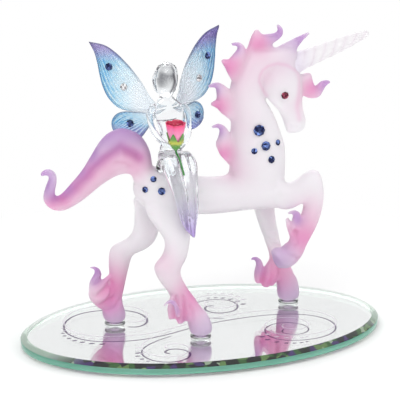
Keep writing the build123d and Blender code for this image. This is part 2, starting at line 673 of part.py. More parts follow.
def leg(name, start, side, leg_shares, hoof_shares, tuft_shares):
    """Write a leg, its hoof and its tuft, and return the pocket that the leg fills."""
    level = barrel.Y + side * torso_breadth * joint_share
    inner_face = Plane((0, level, 0), x_dir=(1, 0, 0), z_dir=(0, side, 0))
    leg_form = ribbed(start, leg_length, leg_breadth, leg_shares)
    outer = moved(start, leg_length, (tuft_shares[0][0], tuft_shares[0][4], tuft_shares[0][1]))
    inner = moved(start, leg_length, (tuft_shares[0][2], tuft_shares[0][4], tuft_shares[0][3]))
    chord = outer - inner
    tuft_plane = Plane((outer + inner) / 2, x_dir=(0, 1, 0), z_dir=(chord.Z, 0, -chord.X))
    with BuildPart() as hoof:
        add(ribbed(start, leg_length, hoof_breadth, hoof_shares))
        add(seat(tuft_plane, tuft_breadth * tuft_shares[0][5] / 2, chord.length / 2), mode=Mode.SUBTRACT)
    kept(name + "_leg", trimmed(leg_form, inner_face))
    kept(name + "_hoof", hoof.part)
    kept(name + "_tuft", ribbed(start, leg_length, tuft_breadth, tuft_shares))
    return pocket(start, leg_length, leg_shares[:pocket_ribs], side, level)


joint_share = 0.25
pocket_ribs = 6
leg_pockets = [
    leg("far_hind", hip, 1, far_hind_shares, far_hind_hoof_shares, far_hind_tuft_shares),
    leg("near_hind", hip, -1, near_hind_shares, near_hind_hoof_shares, near_hind_tuft_shares),
    leg("far_fore", shoulder, 1, far_fore_shares, far_fore_hoof_shares, far_fore_tuft_shares),
    leg("near_fore", shoulder, -1, near_fore_shares, near_fore_hoof_shares, near_fore_tuft_shares),
]

# Crystals set into the neck, the rump and the eyes
neck_crystal_places = [
    (-0.069, 0.440, crystal_large), (-0.024, 0.332, crystal_medium), (0.072, 0.343, crystal_tiny),
    (-0.105, 0.302, crystal_tiny), (0.016, 0.236, crystal_small),
]
rump_crystal_places = [
    (-0.412, 0.158, crystal_tiny), (-0.462, 0.096, crystal_tiny), (-0.375, 0.090, crystal_small),
]
eye_crystal_places = [(-0.061, -0.370, crystal_small)]


def stones(form, start, size, places, side):
    """Crystals seated on one side of a form, at places given in shares of a size."""
    seats = [(moved(start, size, (x_share, 0, z_share)), width) for x_share, z_share, width in places]
    return [crystal(seat_on(form, place, side), width) for place, width in seats]


with BuildPart() as neck_crystals:
    add(stones(neck_form, neck_root, neck_length, neck_crystal_places, -1))
with BuildPart() as rump_crystals:
    add(stones(torso_form, barrel, torso_length, rump_crystal_places, -1))
with BuildPart() as eye_crystal_near:
    add(stones(head_form, head_root, head_length, eye_crystal_places, -1))
with BuildPart() as eye_crystal_far:
    add(stones(head_form, head_root, head_length, eye_crystal_places, 1))
kept("neck_crystals", neck_crystals.part)
kept("rump_crystals", rump_crystals.part)
kept("eye_crystal_near", eye_crystal_near.part)
kept("eye_crystal_far", eye_crystal_far.part)

# Trunk pieces, cut by the joints, by the seats of what stands on them, and by their crystals
fairy_seat_level = moved(saddle, fairy_height, (0.012, -0.06, 0.033))
fairy_seat_plane = Plane(fairy_seat_level, x_dir=(1, 0, 0), z_dir=(0, 0, 1))
fairy_seat = seat(fairy_seat_plane, fairy_height * 0.15, fairy_depth * 0.55)
with BuildPart() as unicorn_torso:
    add(trimmed(torso_form, -chest_plane))
    add([*leg_pockets, tail_seat, fairy_seat, rump_crystals.part], mode=Mode.SUBTRACT)
with BuildPart() as unicorn_head:
    add(trimmed(head_form, -brow_plane))
    add([horn_seat, eye_crystal_near.part, eye_crystal_far.part], mode=Mode.SUBTRACT)
with BuildPart() as unicorn_neck:
    add(trimmed(neck_form, chest_plane, crest_plane))
    add([leg_pockets[3], neck_crystals.part], mode=Mode.SUBTRACT)
with BuildPart() as unicorn_poll:
    add(trimmed(poll_form, crest_plane, nape_plane, -crown_plane))
    add([head_form, horn_seat], mode=Mode.SUBTRACT)
kept("unicorn_torso", unicorn_torso.part)
kept("unicorn_head", unicorn_head.part)
kept("unicorn_neck", unicorn_neck.part)
kept("unicorn_poll", unicorn_poll.part)

# Fairy: body and head, in shares of its height and of its head's height
fairy_head_root = moved(saddle, fairy_height, (0, 0, 0.812))
fairy_body_form = ribbed(saddle, fairy_height, fairy_depth, [
    (-0.125, 0.033, 0.150, 0.033, -0.060, 1.0),
    (-0.135, 0.100, 0.165, 0.100, -0.075, 1.1),
    (-0.112, 0.195, 0.146, 0.178, -0.095, 1.0),
    (-0.100, 0.285, 0.125, 0.268, -0.092, 0.87),
    (-0.092, 0.360, 0.108, 0.345, -0.087, 0.74),
    (-0.099, 0.467, 0.121, 0.449, -0.080, 0.72),
    (-0.133, 0.579, 0.139, 0.558, -0.075, 0.80),
    (-0.158, 0.675, 0.145, 0.655, -0.075, 0.75),
    (-0.150, 0.740, 0.120, 0.725, -0.075, 0.62),
    (-0.085, 0.812, 0.019, 0.812, -0.075, 0.40),
])
fairy_head_form = ribbed(fairy_head_root, fairy_head_height, fairy_head_depth, [
    (-0.243, 0.000, 0.054, 0.000, -0.214, 0.38),
    (-0.390, 0.100, 0.120, 0.070, -0.214, 0.75),
    (-0.459, 0.369, 0.236, 0.325, -0.214, 0.96),
    (-0.431, 0.594, 0.237, 0.552, -0.214, 1.0),
    (-0.327, 0.785, 0.207, 0.752, -0.214, 0.86),
    (-0.178, 0.880, 0.104, 0.862, -0.214, 0.48),
])
fairy_hair_form = ribbed(fairy_head_root, fairy_head_height, fairy_head_depth, [
    (-0.300, 0.040, 0.160, 0.040, -0.060, 0.55),
    (-0.440, 0.163, 0.280, 0.130, -0.050, 0.85),
    (-0.500, 0.403, 0.350, 0.363, -0.050, 1.0),
    (-0.440, 0.643, 0.350, 0.603, -0.070, 0.98),
    (-0.280, 0.840, 0.260, 0.810, -0.100, 0.80),
    (-0.120, 0.940, 0.100, 0.925, -0.120, 0.45),
])
hair_place = moved(fairy_head_root, fairy_head_height, (0, -0.143, 0))
hair_plane = Plane(hair_place, x_dir=(1, 0, 0), z_dir=(0, 1, 0))
lap_place = moved(saddle, fairy_height, (0, -0.163, 0))
lap_plane = Plane(lap_place, x_dir=(1, 0, 0), z_dir=(0, -1, 0))
kept("fairy_head", trimmed(fairy_head_form, -hair_plane))
kept("fairy_hair", trimmed(fairy_hair_form, hair_plane))

# Both legs hang side by side over the near flank
leg_pair_shares = [
    (-0.150, 0.285, 0.160, 0.265, -0.190, 1.15),
    (-0.172, 0.215, 0.206, 0.191, -0.255, 0.95),
    (-0.163, 0.151, 0.206, 0.099, -0.312, 0.80),
    (-0.135, 0.057, 0.195, 0.027, -0.350, 0.75),
    (-0.091, -0.054, 0.187, -0.079, -0.375, 0.65),
    (-0.051, -0.167, 0.183, -0.189, -0.385, 0.60),
    (-0.032, -0.243, 0.178, -0.263, -0.388, 0.56),
    (-0.013, -0.320, 0.172, -0.340, -0.390, 0.52),
    (0.040, -0.450, 0.160, -0.463, -0.390, 0.40),
    (0.133, -0.569, 0.152, -0.571, -0.390, 0.12),
]


def spans(shares, start_share, end_share):
    """Narrower ribs, each one span of a given rib."""
    rows = []
    for x_share, z_share, inner_x_share, inner_z_share, side_share, breadth_share in shares:
        x_run = inner_x_share - x_share
        z_run = inner_z_share - z_share
        start = (x_share + x_run * start_share, z_share + z_run * start_share)
        end = (x_share + x_run * end_share, z_share + z_run * end_share)
        rows.append((*start, *end, side_share, breadth_share))
    return rows


right_leg_form = ribbed(saddle, fairy_height, fairy_depth, spans(leg_pair_shares, 0, 0.49))
left_leg_form = ribbed(saddle, fairy_height, fairy_depth, spans(leg_pair_shares, 0.51, 1))
kept("fairy_right_leg", trimmed(right_leg_form, lap_plane))
kept("fairy_left_leg", trimmed(left_leg_form, lap_plane))

# Rose held in both hands: turned cups of petals, notched at their rims
rose_root = moved(saddle, fairy_height, (0, -0.2625, 0.30))
rose_plane = Plane(rose_root, x_dir=(1, 0, 0), z_dir=(0, -1, 0))
rose_axis = Axis(rose_root, (0, 0, 1))
outer_petal_count = 5
inner_petal_count = 3


def cup(shares):
    """A solid of revolution round the rose's axis, from shares of its diameter and its height."""
    points = [(rose_diameter * r_share, rose_height * z_share) for r_share, z_share in shares]
    with BuildPart() as form:
        with BuildSketch(rose_plane):
            with BuildLine():
                Spline(*points)
                Polyline(points[-1], (0, points[-1][1]), (0, points[0][1]), points[0])
            make_face()
        revolve(axis=rose_axis)
    return form.part


def notches(count, turn, low_share, high_share, width_share):
    """Wedges round the rose's axis that part a rim into petals."""
    half_width = rose_diameter * width_share / 2
    low = rose_height * low_share
    high = rose_height * high_share
    with BuildPart() as form:
        for number in range(count):
            angle = turn + 2 * pi * number / count
            way = Vector(cos(angle), sin(angle), 0)
            with BuildSketch(Plane(rose_root, x_dir=(-way.Y, way.X, 0), z_dir=way)):
                Polygon((0, low), (half_width, high), (-half_width, high), align=None)
        extrude(amount=rose_diameter)
    return form.part


bud_form = cup([(0.10, 0.20), (0.30, 0.34), (0.44, 0.52), (0.46, 0.72), (0.50, 0.90)])
hollow_form = cup([(0.27, 0.45), (0.34, 0.56), (0.365, 0.72), (0.405, 0.90), (0.42, 1.0)])
with BuildPart() as rose_outer_petals:
    add(bud_form)
    add([hollow_form, notches(outer_petal_count, 0.3, 0.66, 1.0, 0.34)], mode=Mode.SUBTRACT)
with BuildPart() as rose_inner_petals:
    add(cup([(0.20, 0.45), (0.27, 0.56), (0.29, 0.76), (0.25, 0.96)]))
    add(cup([(0.13, 0.55), (0.18, 0.70), (0.20, 0.85), (0.17, 1.00)]), mode=Mode.SUBTRACT)
    add(notches(inner_petal_count, 0.9, 0.78, 1.1, 0.30), mode=Mode.SUBTRACT)
rose_heart = cup([(0.08, 0.55), (0.12, 0.70), (0.12, 0.86), (0.05, 1.00)])
with BuildPart() as rose_calyx:
    add(cup([(0.08, 0.00), (0.20, 0.06), (0.34, 0.22), (0.44, 0.40), (0.50, 0.56)]))
    add([notches(outer_petal_count, 0.3, 0.26, 0.70, 0.42), bud_form], mode=Mode.SUBTRACT)
rose_stem = tapered(rose_root, stem_length, stem_diameter, [
    (0.00, 0.00, 0.00, 1.0),
    (0.00, 0.00, -0.06, 1.0),
    (-0.01, -0.20, -0.16, 1.0),
    (-0.02, -0.64, -0.30, 0.96),
    (0.00, -0.92, -0.70, 0.92),
    (0.08, -1.02, -1.10, 0.86),
])
kept("rose_outer_petals", rose_outer_petals.part)
kept("rose_inner_petals", rose_inner_petals.part)
kept("rose_heart", rose_heart)
kept("rose_calyx", rose_calyx.part)
kept("rose_stem", rose_stem)


# Arms: each starts on a flat place on its shoulder and ends at the rose's calyx
def arm(name, side, shares):
    """Write an arm whose rod starts square to the shoulder, and return the seat that it needs."""
    place = moved(saddle, fairy_height, shares[0][:3])
    with BuildPart() as piece:
        add(tapered(saddle, fairy_height, arm_diameter, shares))
        add(rose_calyx.part, mode=Mode.SUBTRACT)
    kept(name, piece.part)
    return seat(Plane(place, x_dir=(0, 1, 0), z_dir=(side, 0, 0)), arm_diameter / 2, arm_diameter / 2)


right_shoulder_seat = arm("fairy_right_arm", -1, [
    (-0.135, -0.075, 0.710, 0.90),
    (-0.150, -0.075, 0.710, 0.95),
    (-0.185, -0.080, 0.690, 1.0),
    (-0.210, -0.100, 0.610, 0.95),
    (-0.188, -0.150, 0.490, 0.88),
    (-0.135, -0.215, 0.400, 0.82),
    (-0.080, -0.250, 0.352, 0.80),
    (-0.030, -0.255, 0.332, 0.76),
])
left_shoulder_seat = arm("fairy_left_arm", 1, [
    (0.125, -0.075, 0.695, 0.90),
    (0.138, -0.075, 0.695, 0.95),
    (0.168, -0.080, 0.675, 1.0),
    (0.188, -0.100, 0.590, 0.95),
    (0.180, -0.140, 0.475, 0.88),
    (0.130, -0.205, 0.395, 0.82),
    (0.080, -0.240, 0.350, 0.80),
    (0.030, -0.255, 0.332, 0.76),
])

# Wings: two flat plates a side, swept back from a flat place between the shoulders
wing_root = moved(saddle, fairy_height, (0.005, -0.025, 0.72))
wing_root_spread_share = 0.027
back_place = moved(saddle, fairy_height, (0.005, -0.020, 0.69))
back_plane = Plane(back_place, x_dir=(1, 0, 0), z_dir=(0, 1, 0))
back_seat = seat(back_plane, fairy_height * 0.15, fairy_height * 0.12)
upper_wing_top_shares = [
    (0.00, -0.02), (0.10, 0.01), (0.20, 0.12), (0.28, 0.26), (0.40, 0.42), (0.50, 0.53),
    (0.62, 0.64), (0.77, 0.73), (0.98, 0.77),
]
upper_wing_low_shares = [
    (0.98, 0.77), (0.91, 0.63), (0.88, 0.50), (0.86, 0.35), (0.83, 0.22), (0.77, 0.09),
    (0.66, -0.01), (0.53, -0.045), (0.36, -0.055), (0.18, -0.045), (0.00, -0.02),
]
lower_wing_top_shares = [
    (0.00, -0.05), (0.18, -0.073), (0.36, -0.078), (0.52, -0.075), (0.62, -0.11), (0.68, -0.18),
    (0.69, -0.26), (0.66, -0.33), (0.57, -0.385),
]
lower_wing_low_shares = [
    (0.57, -0.385), (0.44, -0.41), (0.34, -0.40), (0.25, -0.30), (0.16, -0.18), (0.00, -0.05),
]
wing_blue_shares = [(0.72, 0.44), (0.48, -0.245)]
wing_clear_shares = [(0.535, 0.20)]


def wing_plane(side):
    """The plane of the wings on one side."""
    sweep = radians(wing_sweep - side * wing_turn)
    roll = radians(side * wing_roll)
    way = Vector(side * cos(sweep), sin(sweep), 0)
    up = Vector(0, 0, 1)
    place = wing_root + Vector(side * wing_root_spread_share * fairy_height, 0, 0)
    return Plane(place, x_dir=way * cos(roll) + up * sin(roll), z_dir=way.cross(up))


def wing_stones(side, shares):
    """Crystals on the front face of one side's wings."""
    plane = wing_plane(side)
    front_way = plane.z_dir * side
    forms = []
    for x_share, y_share in shares:
        middle = plane.from_local_coords(Vector(wing_span * x_share, wing_span * y_share, 0))
        place = middle + front_way * (wing_thickness / 2)
        forms.append(crystal(Plane(place, x_dir=plane.x_dir, z_dir=front_way), crystal_small))
    return forms


def wing(name, side, top_shares, low_shares, stone_forms):
    """Write one flat wing, bounded by two smooth edges and cut by the back and its crystals."""
    with BuildPart() as piece:
        with BuildSketch(wing_plane(side)):
            with BuildLine():
                Spline(*[(wing_span * x_share, wing_span * y_share) for x_share, y_share in top_shares])
                Spline(*[(wing_span * x_share, wing_span * y_share) for x_share, y_share in low_shares])
            make_face()
        extrude(amount=wing_thickness / 2, both=True)
        split(bisect_by=back_plane, keep=Keep.TOP)
        add(stone_forms, mode=Mode.SUBTRACT)
    kept(name, piece.part)


with BuildPart() as wing_crystals_blue:
    add(wing_stones(-1, wing_blue_shares) + wing_stones(1, wing_blue_shares))
with BuildPart() as wing_crystals_clear:
    add(wing_stones(-1, wing_clear_shares) + wing_stones(1, wing_clear_shares))
kept("wing_crystals_blue", wing_crystals_blue.part)
kept("wing_crystals_clear", wing_crystals_clear.part)
wing_stone_forms = [wing_crystals_blue.part, wing_crystals_clear.part]
wing("fairy_upper_wing_right", -1, upper_wing_top_shares, upper_wing_low_shares, wing_stone_forms)
wing("fairy_lower_wing_right", -1, lower_wing_top_shares, lower_wing_low_shares, wing_stone_forms)
wing("fairy_upper_wing_left", 1, upper_wing_top_shares, upper_wing_low_shares, wing_stone_forms)
wing("fairy_lower_wing_left", 1, lower_wing_top_shares, lower_wing_low_shares, wing_stone_forms)

with BuildPart() as fairy_body:
    add(trimmed(fairy_body_form, -lap_plane))
    add([back_seat, right_shoulder_seat, left_shoulder_seat], mode=Mode.SUBTRACT)
kept("fairy_body", fairy_body.part)
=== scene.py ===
# %% [markdown]
# # A glass unicorn that carries a glass fairy, on an oval mirror
# The figurine is lampwork: rods of glass are softened in a flame and fused to each other, and
# one part is then dipped in acid, which leaves it milky. The CAD model gives the exact place and
# size of every piece. This lesson dresses it: fused frosted glass, clear glass, tinted wings,
# cut stones, a rose and a real mirror under a real plate of glass.

# %% Load the frame
import bmesh
import bpy
import numpy as np
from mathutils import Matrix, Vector


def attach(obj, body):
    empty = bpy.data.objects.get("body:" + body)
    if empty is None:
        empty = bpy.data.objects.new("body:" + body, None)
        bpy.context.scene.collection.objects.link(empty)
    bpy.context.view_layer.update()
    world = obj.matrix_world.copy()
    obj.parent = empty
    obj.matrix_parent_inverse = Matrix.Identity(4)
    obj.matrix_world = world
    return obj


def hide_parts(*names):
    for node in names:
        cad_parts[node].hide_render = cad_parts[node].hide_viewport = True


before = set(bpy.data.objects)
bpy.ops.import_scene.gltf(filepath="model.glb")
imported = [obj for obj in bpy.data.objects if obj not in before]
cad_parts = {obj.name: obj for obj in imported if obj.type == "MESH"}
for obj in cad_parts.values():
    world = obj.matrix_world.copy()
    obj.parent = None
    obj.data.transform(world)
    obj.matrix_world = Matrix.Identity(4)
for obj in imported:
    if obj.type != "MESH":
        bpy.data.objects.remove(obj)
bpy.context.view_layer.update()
MM = 0.001

# %% [markdown]
# ## Camera
# The photo was taken from a little above and a little to the left of the side view, from far
# away, so the lens is long. The camera is placed by its direction and distance from the figure.

# %% Camera
CAMERA_AZIMUTH = np.radians(-20.716)
CAMERA_ELEVATION = np.radians(14.728)
CAMERA_TARGET = Vector((-1.02, 0, 56.718)) * MM
CAMERA_DISTANCE = 0.8
PHOTO_PIXELS = 400
FOCAL_PIXELS = 1975.8
SENSOR_WIDTH = 36
camera_back = Vector((
    np.sin(CAMERA_AZIMUTH) * np.cos(CAMERA_ELEVATION),
    -np.cos(CAMERA_AZIMUTH) * np.cos(CAMERA_ELEVATION),
    np.sin(CAMERA_ELEVATION),
))
camera_data = bpy.data.cameras.new("camera")
camera_data.sensor_width = SENSOR_WIDTH
camera_data.lens = FOCAL_PIXELS / PHOTO_PIXELS * SENSOR_WIDTH
camera_data.clip_start = 0.01
camera = bpy.data.objects.new("camera", camera_data)
camera.location = CAMERA_TARGET + camera_back * CAMERA_DISTANCE
camera.rotation_euler = camera_back.to_track_quat("Z", "Y").to_euler()
bpy.context.scene.collection.objects.link(camera)
bpy.context.scene.camera = camera
print("camera at", tuple(round(value, 4) for value in camera.location))

# %% [markdown]
# ## Light and white surroundings
# A catalogue picture of glass is lit by large soft panels. The world is white to the camera.
# Glass needs something dark to draw its edges with, so what glass sees far to the left and right
# is darker, as from the black cards that glass is photographed between. The last panel is the
# light that a mirror throws back up; it shines through the base, so it casts no shadow.


# %% Node helpers
def node_tree(owner):
    """Turn nodes on and clear them."""
    owner.use_nodes = True
    owner.node_tree.nodes.clear()
    return owner.node_tree


def feed(tree, socket, value):
    """Set a socket to a value, or join another node's output to it."""
    if hasattr(value, "is_output"):
        tree.links.new(value, socket)
    else:
        socket.default_value = value


def add_node(tree, kind, inputs=None, **settings):
    """A node of one kind, with its settings and its input values."""
    node = tree.nodes.new(kind)
    for name, value in settings.items():
        setattr(node, name, value)
    for name, value in (inputs or {}).items():
        feed(tree, node.inputs[name], value)
    return node


def maths(tree, operation, first, second=0.0, third=0.0, clamp=False):
    """One Math node; each input is a number or another node's output."""
    values = {0: first, 1: second, 2: third}
    return add_node(tree, "ShaderNodeMath", values, operation=operation, use_clamp=clamp).outputs[0]


def mixed(tree, factor, first, second):
    """A colour between two colours."""
    node = add_node(tree, "ShaderNodeMix", {0: factor}, data_type="RGBA")
    for number, colour in ((6, first), (7, second)):
        feed(tree, node.inputs[number], colour if hasattr(colour, "is_output") else (*colour, 1))
    return node.outputs[2]


def background(tree, colour, strength):
    """What a ray sees when it leaves the scene."""
    return add_node(tree, "ShaderNodeBackground", {"Color": colour, "Strength": strength}).outputs[0]


# %% World
WHITE = (1, 1, 1, 1)
CARD_WAY = (0.935, -0.354, 0)
CARD_EDGE, CARD_SLOPE = 0.60, 8.0
world = bpy.data.worlds.new("white_studio")
bpy.context.scene.world = world
tree = node_tree(world)
path = add_node(tree, "ShaderNodeLightPath")
way = add_node(tree, "ShaderNodeTexCoord").outputs["Generated"]
sideways = add_node(tree, "ShaderNodeVectorMath", {0: way, 1: CARD_WAY}, operation="DOT_PRODUCT")
past_edge = maths(tree, "SUBTRACT", maths(tree, "ABSOLUTE", sideways.outputs["Value"]), CARD_EDGE)
card = maths(tree, "SMOOTH_MIN", maths(tree, "MULTIPLY", past_edge, CARD_SLOPE), 1.0, 0.1, clamp=True)
lit = background(tree, WHITE, 0.80)
seen_by_glass = background(tree, mixed(tree, card, (1, 1, 1), (0.025, 0.025, 0.04)), 1.0)
seen_by_camera = background(tree, WHITE, 1.0)
glassy = maths(tree, "MAXIMUM", path.outputs["Is Glossy Ray"], path.outputs["Is Transmission Ray"])
others = add_node(tree, "ShaderNodeMixShader", {0: glassy, 1: lit, 2: seen_by_glass}).outputs[0]
by_ray = {0: path.outputs["Is Camera Ray"], 1: others, 2: seen_by_camera}
whole = add_node(tree, "ShaderNodeMixShader", by_ray).outputs[0]
add_node(tree, "ShaderNodeOutputWorld", {"Surface": whole})
print("world", world.name)

# %% Lamps
FIGURE_MIDDLE = Vector((0, 0, 0.06))


def lamp(name, place, size, power, shadow=True):
    """A square soft panel that points at the middle of the figure."""
    data = bpy.data.lights.new(name, "AREA")
    data.use_shadow = shadow
    data.size = size
    data.energy = power
    panel = bpy.data.objects.new(name, data)
    panel.location = Vector(place)
    panel.rotation_euler = (Vector(place) - FIGURE_MIDDLE).to_track_quat("Z", "Y").to_euler()
    bpy.context.scene.collection.objects.link(panel)
    print("lamp", name, power, "W")


lamp("key_panel", (-0.45, -0.55, 0.75), 0.55, 3.2)
lamp("fill_panel", (0.65, -0.45, 0.45), 0.6, 1.3)
lamp("back_panel", (0.1, 0.7, 0.6), 0.6, 1.6)
lamp("mirror_bounce", (-0.05, -0.12, -0.45), 0.5, 1.35, False)
bpy.context.scene.view_settings.view_transform = "Standard"

# %% [markdown]
# ## Floor
# The floor is matt and nearly white under the figure, where it has to show the soft shadow, and
# turns into plain white further out, so it has no visible end.

# %% Floor
FLOOR_REACH, FLOOR_LEVEL = 6, -0.0002
MATT_RADIUS, PLAIN_RADIUS = 0.11, 0.21
corners = [(x * FLOOR_REACH, y * FLOOR_REACH, FLOOR_LEVEL) for x, y in ((-1, -1), (1, -1), (1, 1), (-1, 1))]
floor_mesh = bpy.data.meshes.new("floor")
floor_mesh.from_pydata(corners, [], [(0, 1, 2, 3)])
floor = bpy.data.objects.new("floor", floor_mesh)
bpy.context.scene.collection.objects.link(floor)
floor_material = bpy.data.materials.new("white_floor")
tree = node_tree(floor_material)
place = add_node(tree, "ShaderNodeTexCoord").outputs["Object"]
far = add_node(tree, "ShaderNodeVectorMath", {0: place}, operation="LENGTH").outputs["Value"]
range_ends = {"Value": far, "From Min": MATT_RADIUS, "From Max": PLAIN_RADIUS}
fade = add_node(tree, "ShaderNodeMapRange", range_ends, interpolation_type="SMOOTHSTEP").outputs[0]
path = add_node(tree, "ShaderNodeLightPath")
glassy = maths(tree, "MAXIMUM", path.outputs["Is Glossy Ray"], path.outputs["Is Transmission Ray"])
seen = maths(tree, "MAXIMUM", path.outputs["Is Camera Ray"], glassy)
matt = add_node(tree, "ShaderNodeBsdfDiffuse", {"Color": (0.93, 0.93, 0.93, 1)}).outputs[0]
plain = add_node(tree, "ShaderNodeEmission", {"Color": WHITE, "Strength": 1.0}).outputs[0]
by_distance = {0: maths(tree, "MULTIPLY", fade, seen), 1: matt, 2: plain}
whole = add_node(tree, "ShaderNodeMixShader", by_distance).outputs[0]
add_node(tree, "ShaderNodeOutputMaterial", {"Surface": whole})
floor.data.materials.append(floor_material)
print("floor", 2 * FLOOR_REACH, "m wide")

# %% [markdown]
# ## Surfaces from arrays
# Each new piece is a grid of points worked out with numpy: rows run along the piece and columns
# run round or across it. One helper turns such a grid into a mesh and closes its ends. Another
# puts a mesh in the scene, and says which body it rides on, which CAD nodes it stands for and
# which finish it has.


# %% Grid helpers
def grid_faces(rows, columns, closed=True):
    """Four-sided faces of a grid of points; a closed grid joins its last column to its first."""
    row = np.arange(rows - 1)[:, None] * columns
    column = np.arange(columns if closed else columns - 1)
    beside = (column + 1) % columns
    corners = (row + column, row + beside, row + columns + beside, row + columns + column)
    return np.stack([corner.ravel() for corner in corners], 1)


def end_caps(rows, columns):
    """The faces that close both ends of a closed grid."""
    return [range(columns), range((rows - 1) * columns, rows * columns)]


# %% Mesh helpers
# Points nearer to each other than this, in metres, are one point: in a grid, and in a CAD node's copy
GRID_GAP = 1e-7
NODE_GAP = 2e-6


def clean_copy(source, mesh, gap):
    """Write a mesh into another, with points nearer than gap merged and its faces turned outwards."""
    shell = bmesh.new()
    shell.from_mesh(source)
    bmesh.ops.remove_doubles(shell, verts=shell.verts, dist=gap)
    bmesh.ops.recalc_face_normals(shell, faces=shell.faces)
    shell.to_mesh(mesh)
    shell.free()


def raw_mesh(name, points, faces):
    """A mesh from points in millimetres and faces of any size."""
    mesh = bpy.data.meshes.new(name)
    mesh.from_pydata((np.asarray(points) * MM).tolist(), [], faces)
    return mesh


def new_mesh(name, points, faces, caps=()):
    """A smooth closed mesh from points in millimetres, four-sided faces, and closing faces of any size."""
    mesh = raw_mesh(name, points, np.asarray(faces).tolist() + [list(cap) for cap in caps])
    clean_copy(mesh, mesh, GRID_GAP)
    mesh.shade_smooth()
    return mesh


def piece(name, mesh, material, replaces):
    """Put a mesh in the scene, at the origin, riding on the figurine's one body."""
    item = bpy.data.objects.new(name, mesh)
    bpy.context.scene.collection.objects.link(item)
    item.data.materials.append(material)
    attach(item, "root")
    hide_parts(*replaces)
    print(name, len(mesh.vertices), "points")
    return item


# %% Array helpers
def points_of(mesh):
    """A mesh's points as an array in millimetres."""
    flat = np.empty(len(mesh.vertices) * 3)
    mesh.vertices.foreach_get("co", flat)
    return flat.reshape(-1, 3) / MM


def set_points(mesh, points):
    """Write an array in millimetres back into a mesh's points."""
    mesh.vertices.foreach_set("co", (points * MM).ravel())
    mesh.update()


def normals_of(mesh):
    """The normal at each point of a mesh."""
    flat = np.empty(len(mesh.vertices) * 3, np.float32)
    mesh.vertex_normals.foreach_get("vector", flat)
    return flat.reshape(-1, 3)


def set_colour(mesh, name, colours):
    """Keep a colour for each point, for a material to read."""
    layer = mesh.color_attributes.new(name, "FLOAT_COLOR", "POINT")
    rgba = np.ones((len(mesh.vertices), 4))
    rgba[:, :3] = colours
    layer.data.foreach_set("color", rgba.ravel())


def blend(first, second, share):
    """Each point's colour, share of the way from the first colour to the second."""
    return np.asarray(first) * (1 - share) + np.asarray(second) * share


def rising(values, start, end):
    """0 up to start, 1 from end on, and a straight line between; end may lie below start."""
    return np.clip((values - start) / (end - start), 0, 1)


# %% [markdown]
# ## Fusing glass
# Where two rods are melted together the joint flows into a soft fillet. Here the CAD solids of
# the joined pieces are copied, swollen a little so that they overlap, and rebuilt as one skin by
# a voxel remesh. Surface tension is then copied by smoothing: each point moves toward the mean
# of its neighbours, many times where the glass flowed, and a few times at thin curled tips.


# %% Fusing helpers
def node_copy(node, swell):
    """The points and faces of a CAD node's copy, pushed out along its normals."""
    copy = bpy.data.meshes.new(node + "_copy")
    clean_copy(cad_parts[node].data, copy, NODE_GAP)
    points = points_of(copy) + normals_of(copy) * swell
    corners = np.empty(len(copy.loops), np.int64)
    copy.loops.foreach_get("vertex_index", corners)
    bpy.data.meshes.remove(copy)
    return points, corners.reshape(-1, 3).tolist()


def fused(name, forms, voxel):
    """One closed skin round many forms, each given as its points and faces in millimetres.

    The forms are remeshed with one unit for one millimetre, and the skin is made small afterwards.
    """
    all_faces = []
    count = 0
    for points, faces in forms:
        all_faces += [[corner + count for corner in face] for face in faces]
        count += len(points)
    rough = bpy.data.meshes.new(name + "_rough")
    rough.from_pydata(np.concatenate([points for points, _ in forms]).tolist(), [], all_faces)
    holder = bpy.data.objects.new(name + "_rough", rough)
    bpy.context.scene.collection.objects.link(holder)
    remesh = holder.modifiers.new("remesh", "REMESH")
    remesh.mode = "VOXEL"
    remesh.voxel_size = voxel
    remesh.adaptivity = 0
    graph = bpy.context.evaluated_depsgraph_get()
    mesh = bpy.data.meshes.new_from_object(holder.evaluated_get(graph))
    mesh.name = name
    bpy.data.objects.remove(holder)
    bpy.data.meshes.remove(rough)
    set_points(mesh, points_of(mesh) * MM)
    mesh.shade_smooth()
    return mesh


def softened(mesh, weights, rounds):
    """Move each point by half its weight toward the mean of its neighbours, again and again."""
    pairs = np.empty(len(mesh.edges) * 2, np.int64)
    mesh.edges.foreach_get("vertices", pairs)
    first, second = pairs.reshape(-1, 2).T
    points = points_of(mesh)
    count = np.bincount(pairs, minlength=len(points)).astype(float)[:, None]
    for _ in range(rounds):
        total = np.zeros_like(points)
        for axis in range(3):
            total[:, axis] += np.bincount(first, points[second, axis], len(points))
            total[:, axis] += np.bincount(second, points[first, axis], len(points))
        points += (total / count - points) * (0.5 * weights[:, None])
    set_points(mesh, points)


# %% Helpers for spots and lines
def nearness(points, spots):
    """How near each point is to any of several spots: one minus the product of (1 - strength * e^-(d/r)^2).

    A spot is its x, y and z in millimetres, its radius and its strength.
    """
    left = np.ones(len(points))
    for x, y, z, radius, strength in spots:
        away = ((points - (x, y, z)) ** 2).sum(1) / radius ** 2
        left *= 1 - strength * np.exp(-away)
    return 1 - left


def stripe(points, line, width):
    """A soft stripe along a line in the side view: e^-(d/w)^2, where d is the distance from the line."""
    line = np.asarray(line, float)
    flat = points[:, [0, 2]]
    away = np.full(len(points), np.inf)
    for start, end in zip(line, line[1:]):
        length = np.hypot(*(end - start))
        way = (end - start) / length
        offset = flat - start
        run = np.clip(offset @ way, 0, length)
        away = np.minimum(away, np.hypot(*(offset - run[:, None] * way).T))
    return np.exp(-((away / width) ** 2))


# %% [markdown]
# ## The frosted unicorn
# Body, legs, hooves, mane and tail are one fused gather of glass. The mane and the tufts behind
# the hooves end in curls. A curl is a rod drawn along a smooth line in the side view, with a
# width of its own at each place, and a tuft is a hook with the folds of a bunched skirt.

# %% Curls of the mane
# The unicorn's middle plane, in mm
MIDDLE_Y = -5.0
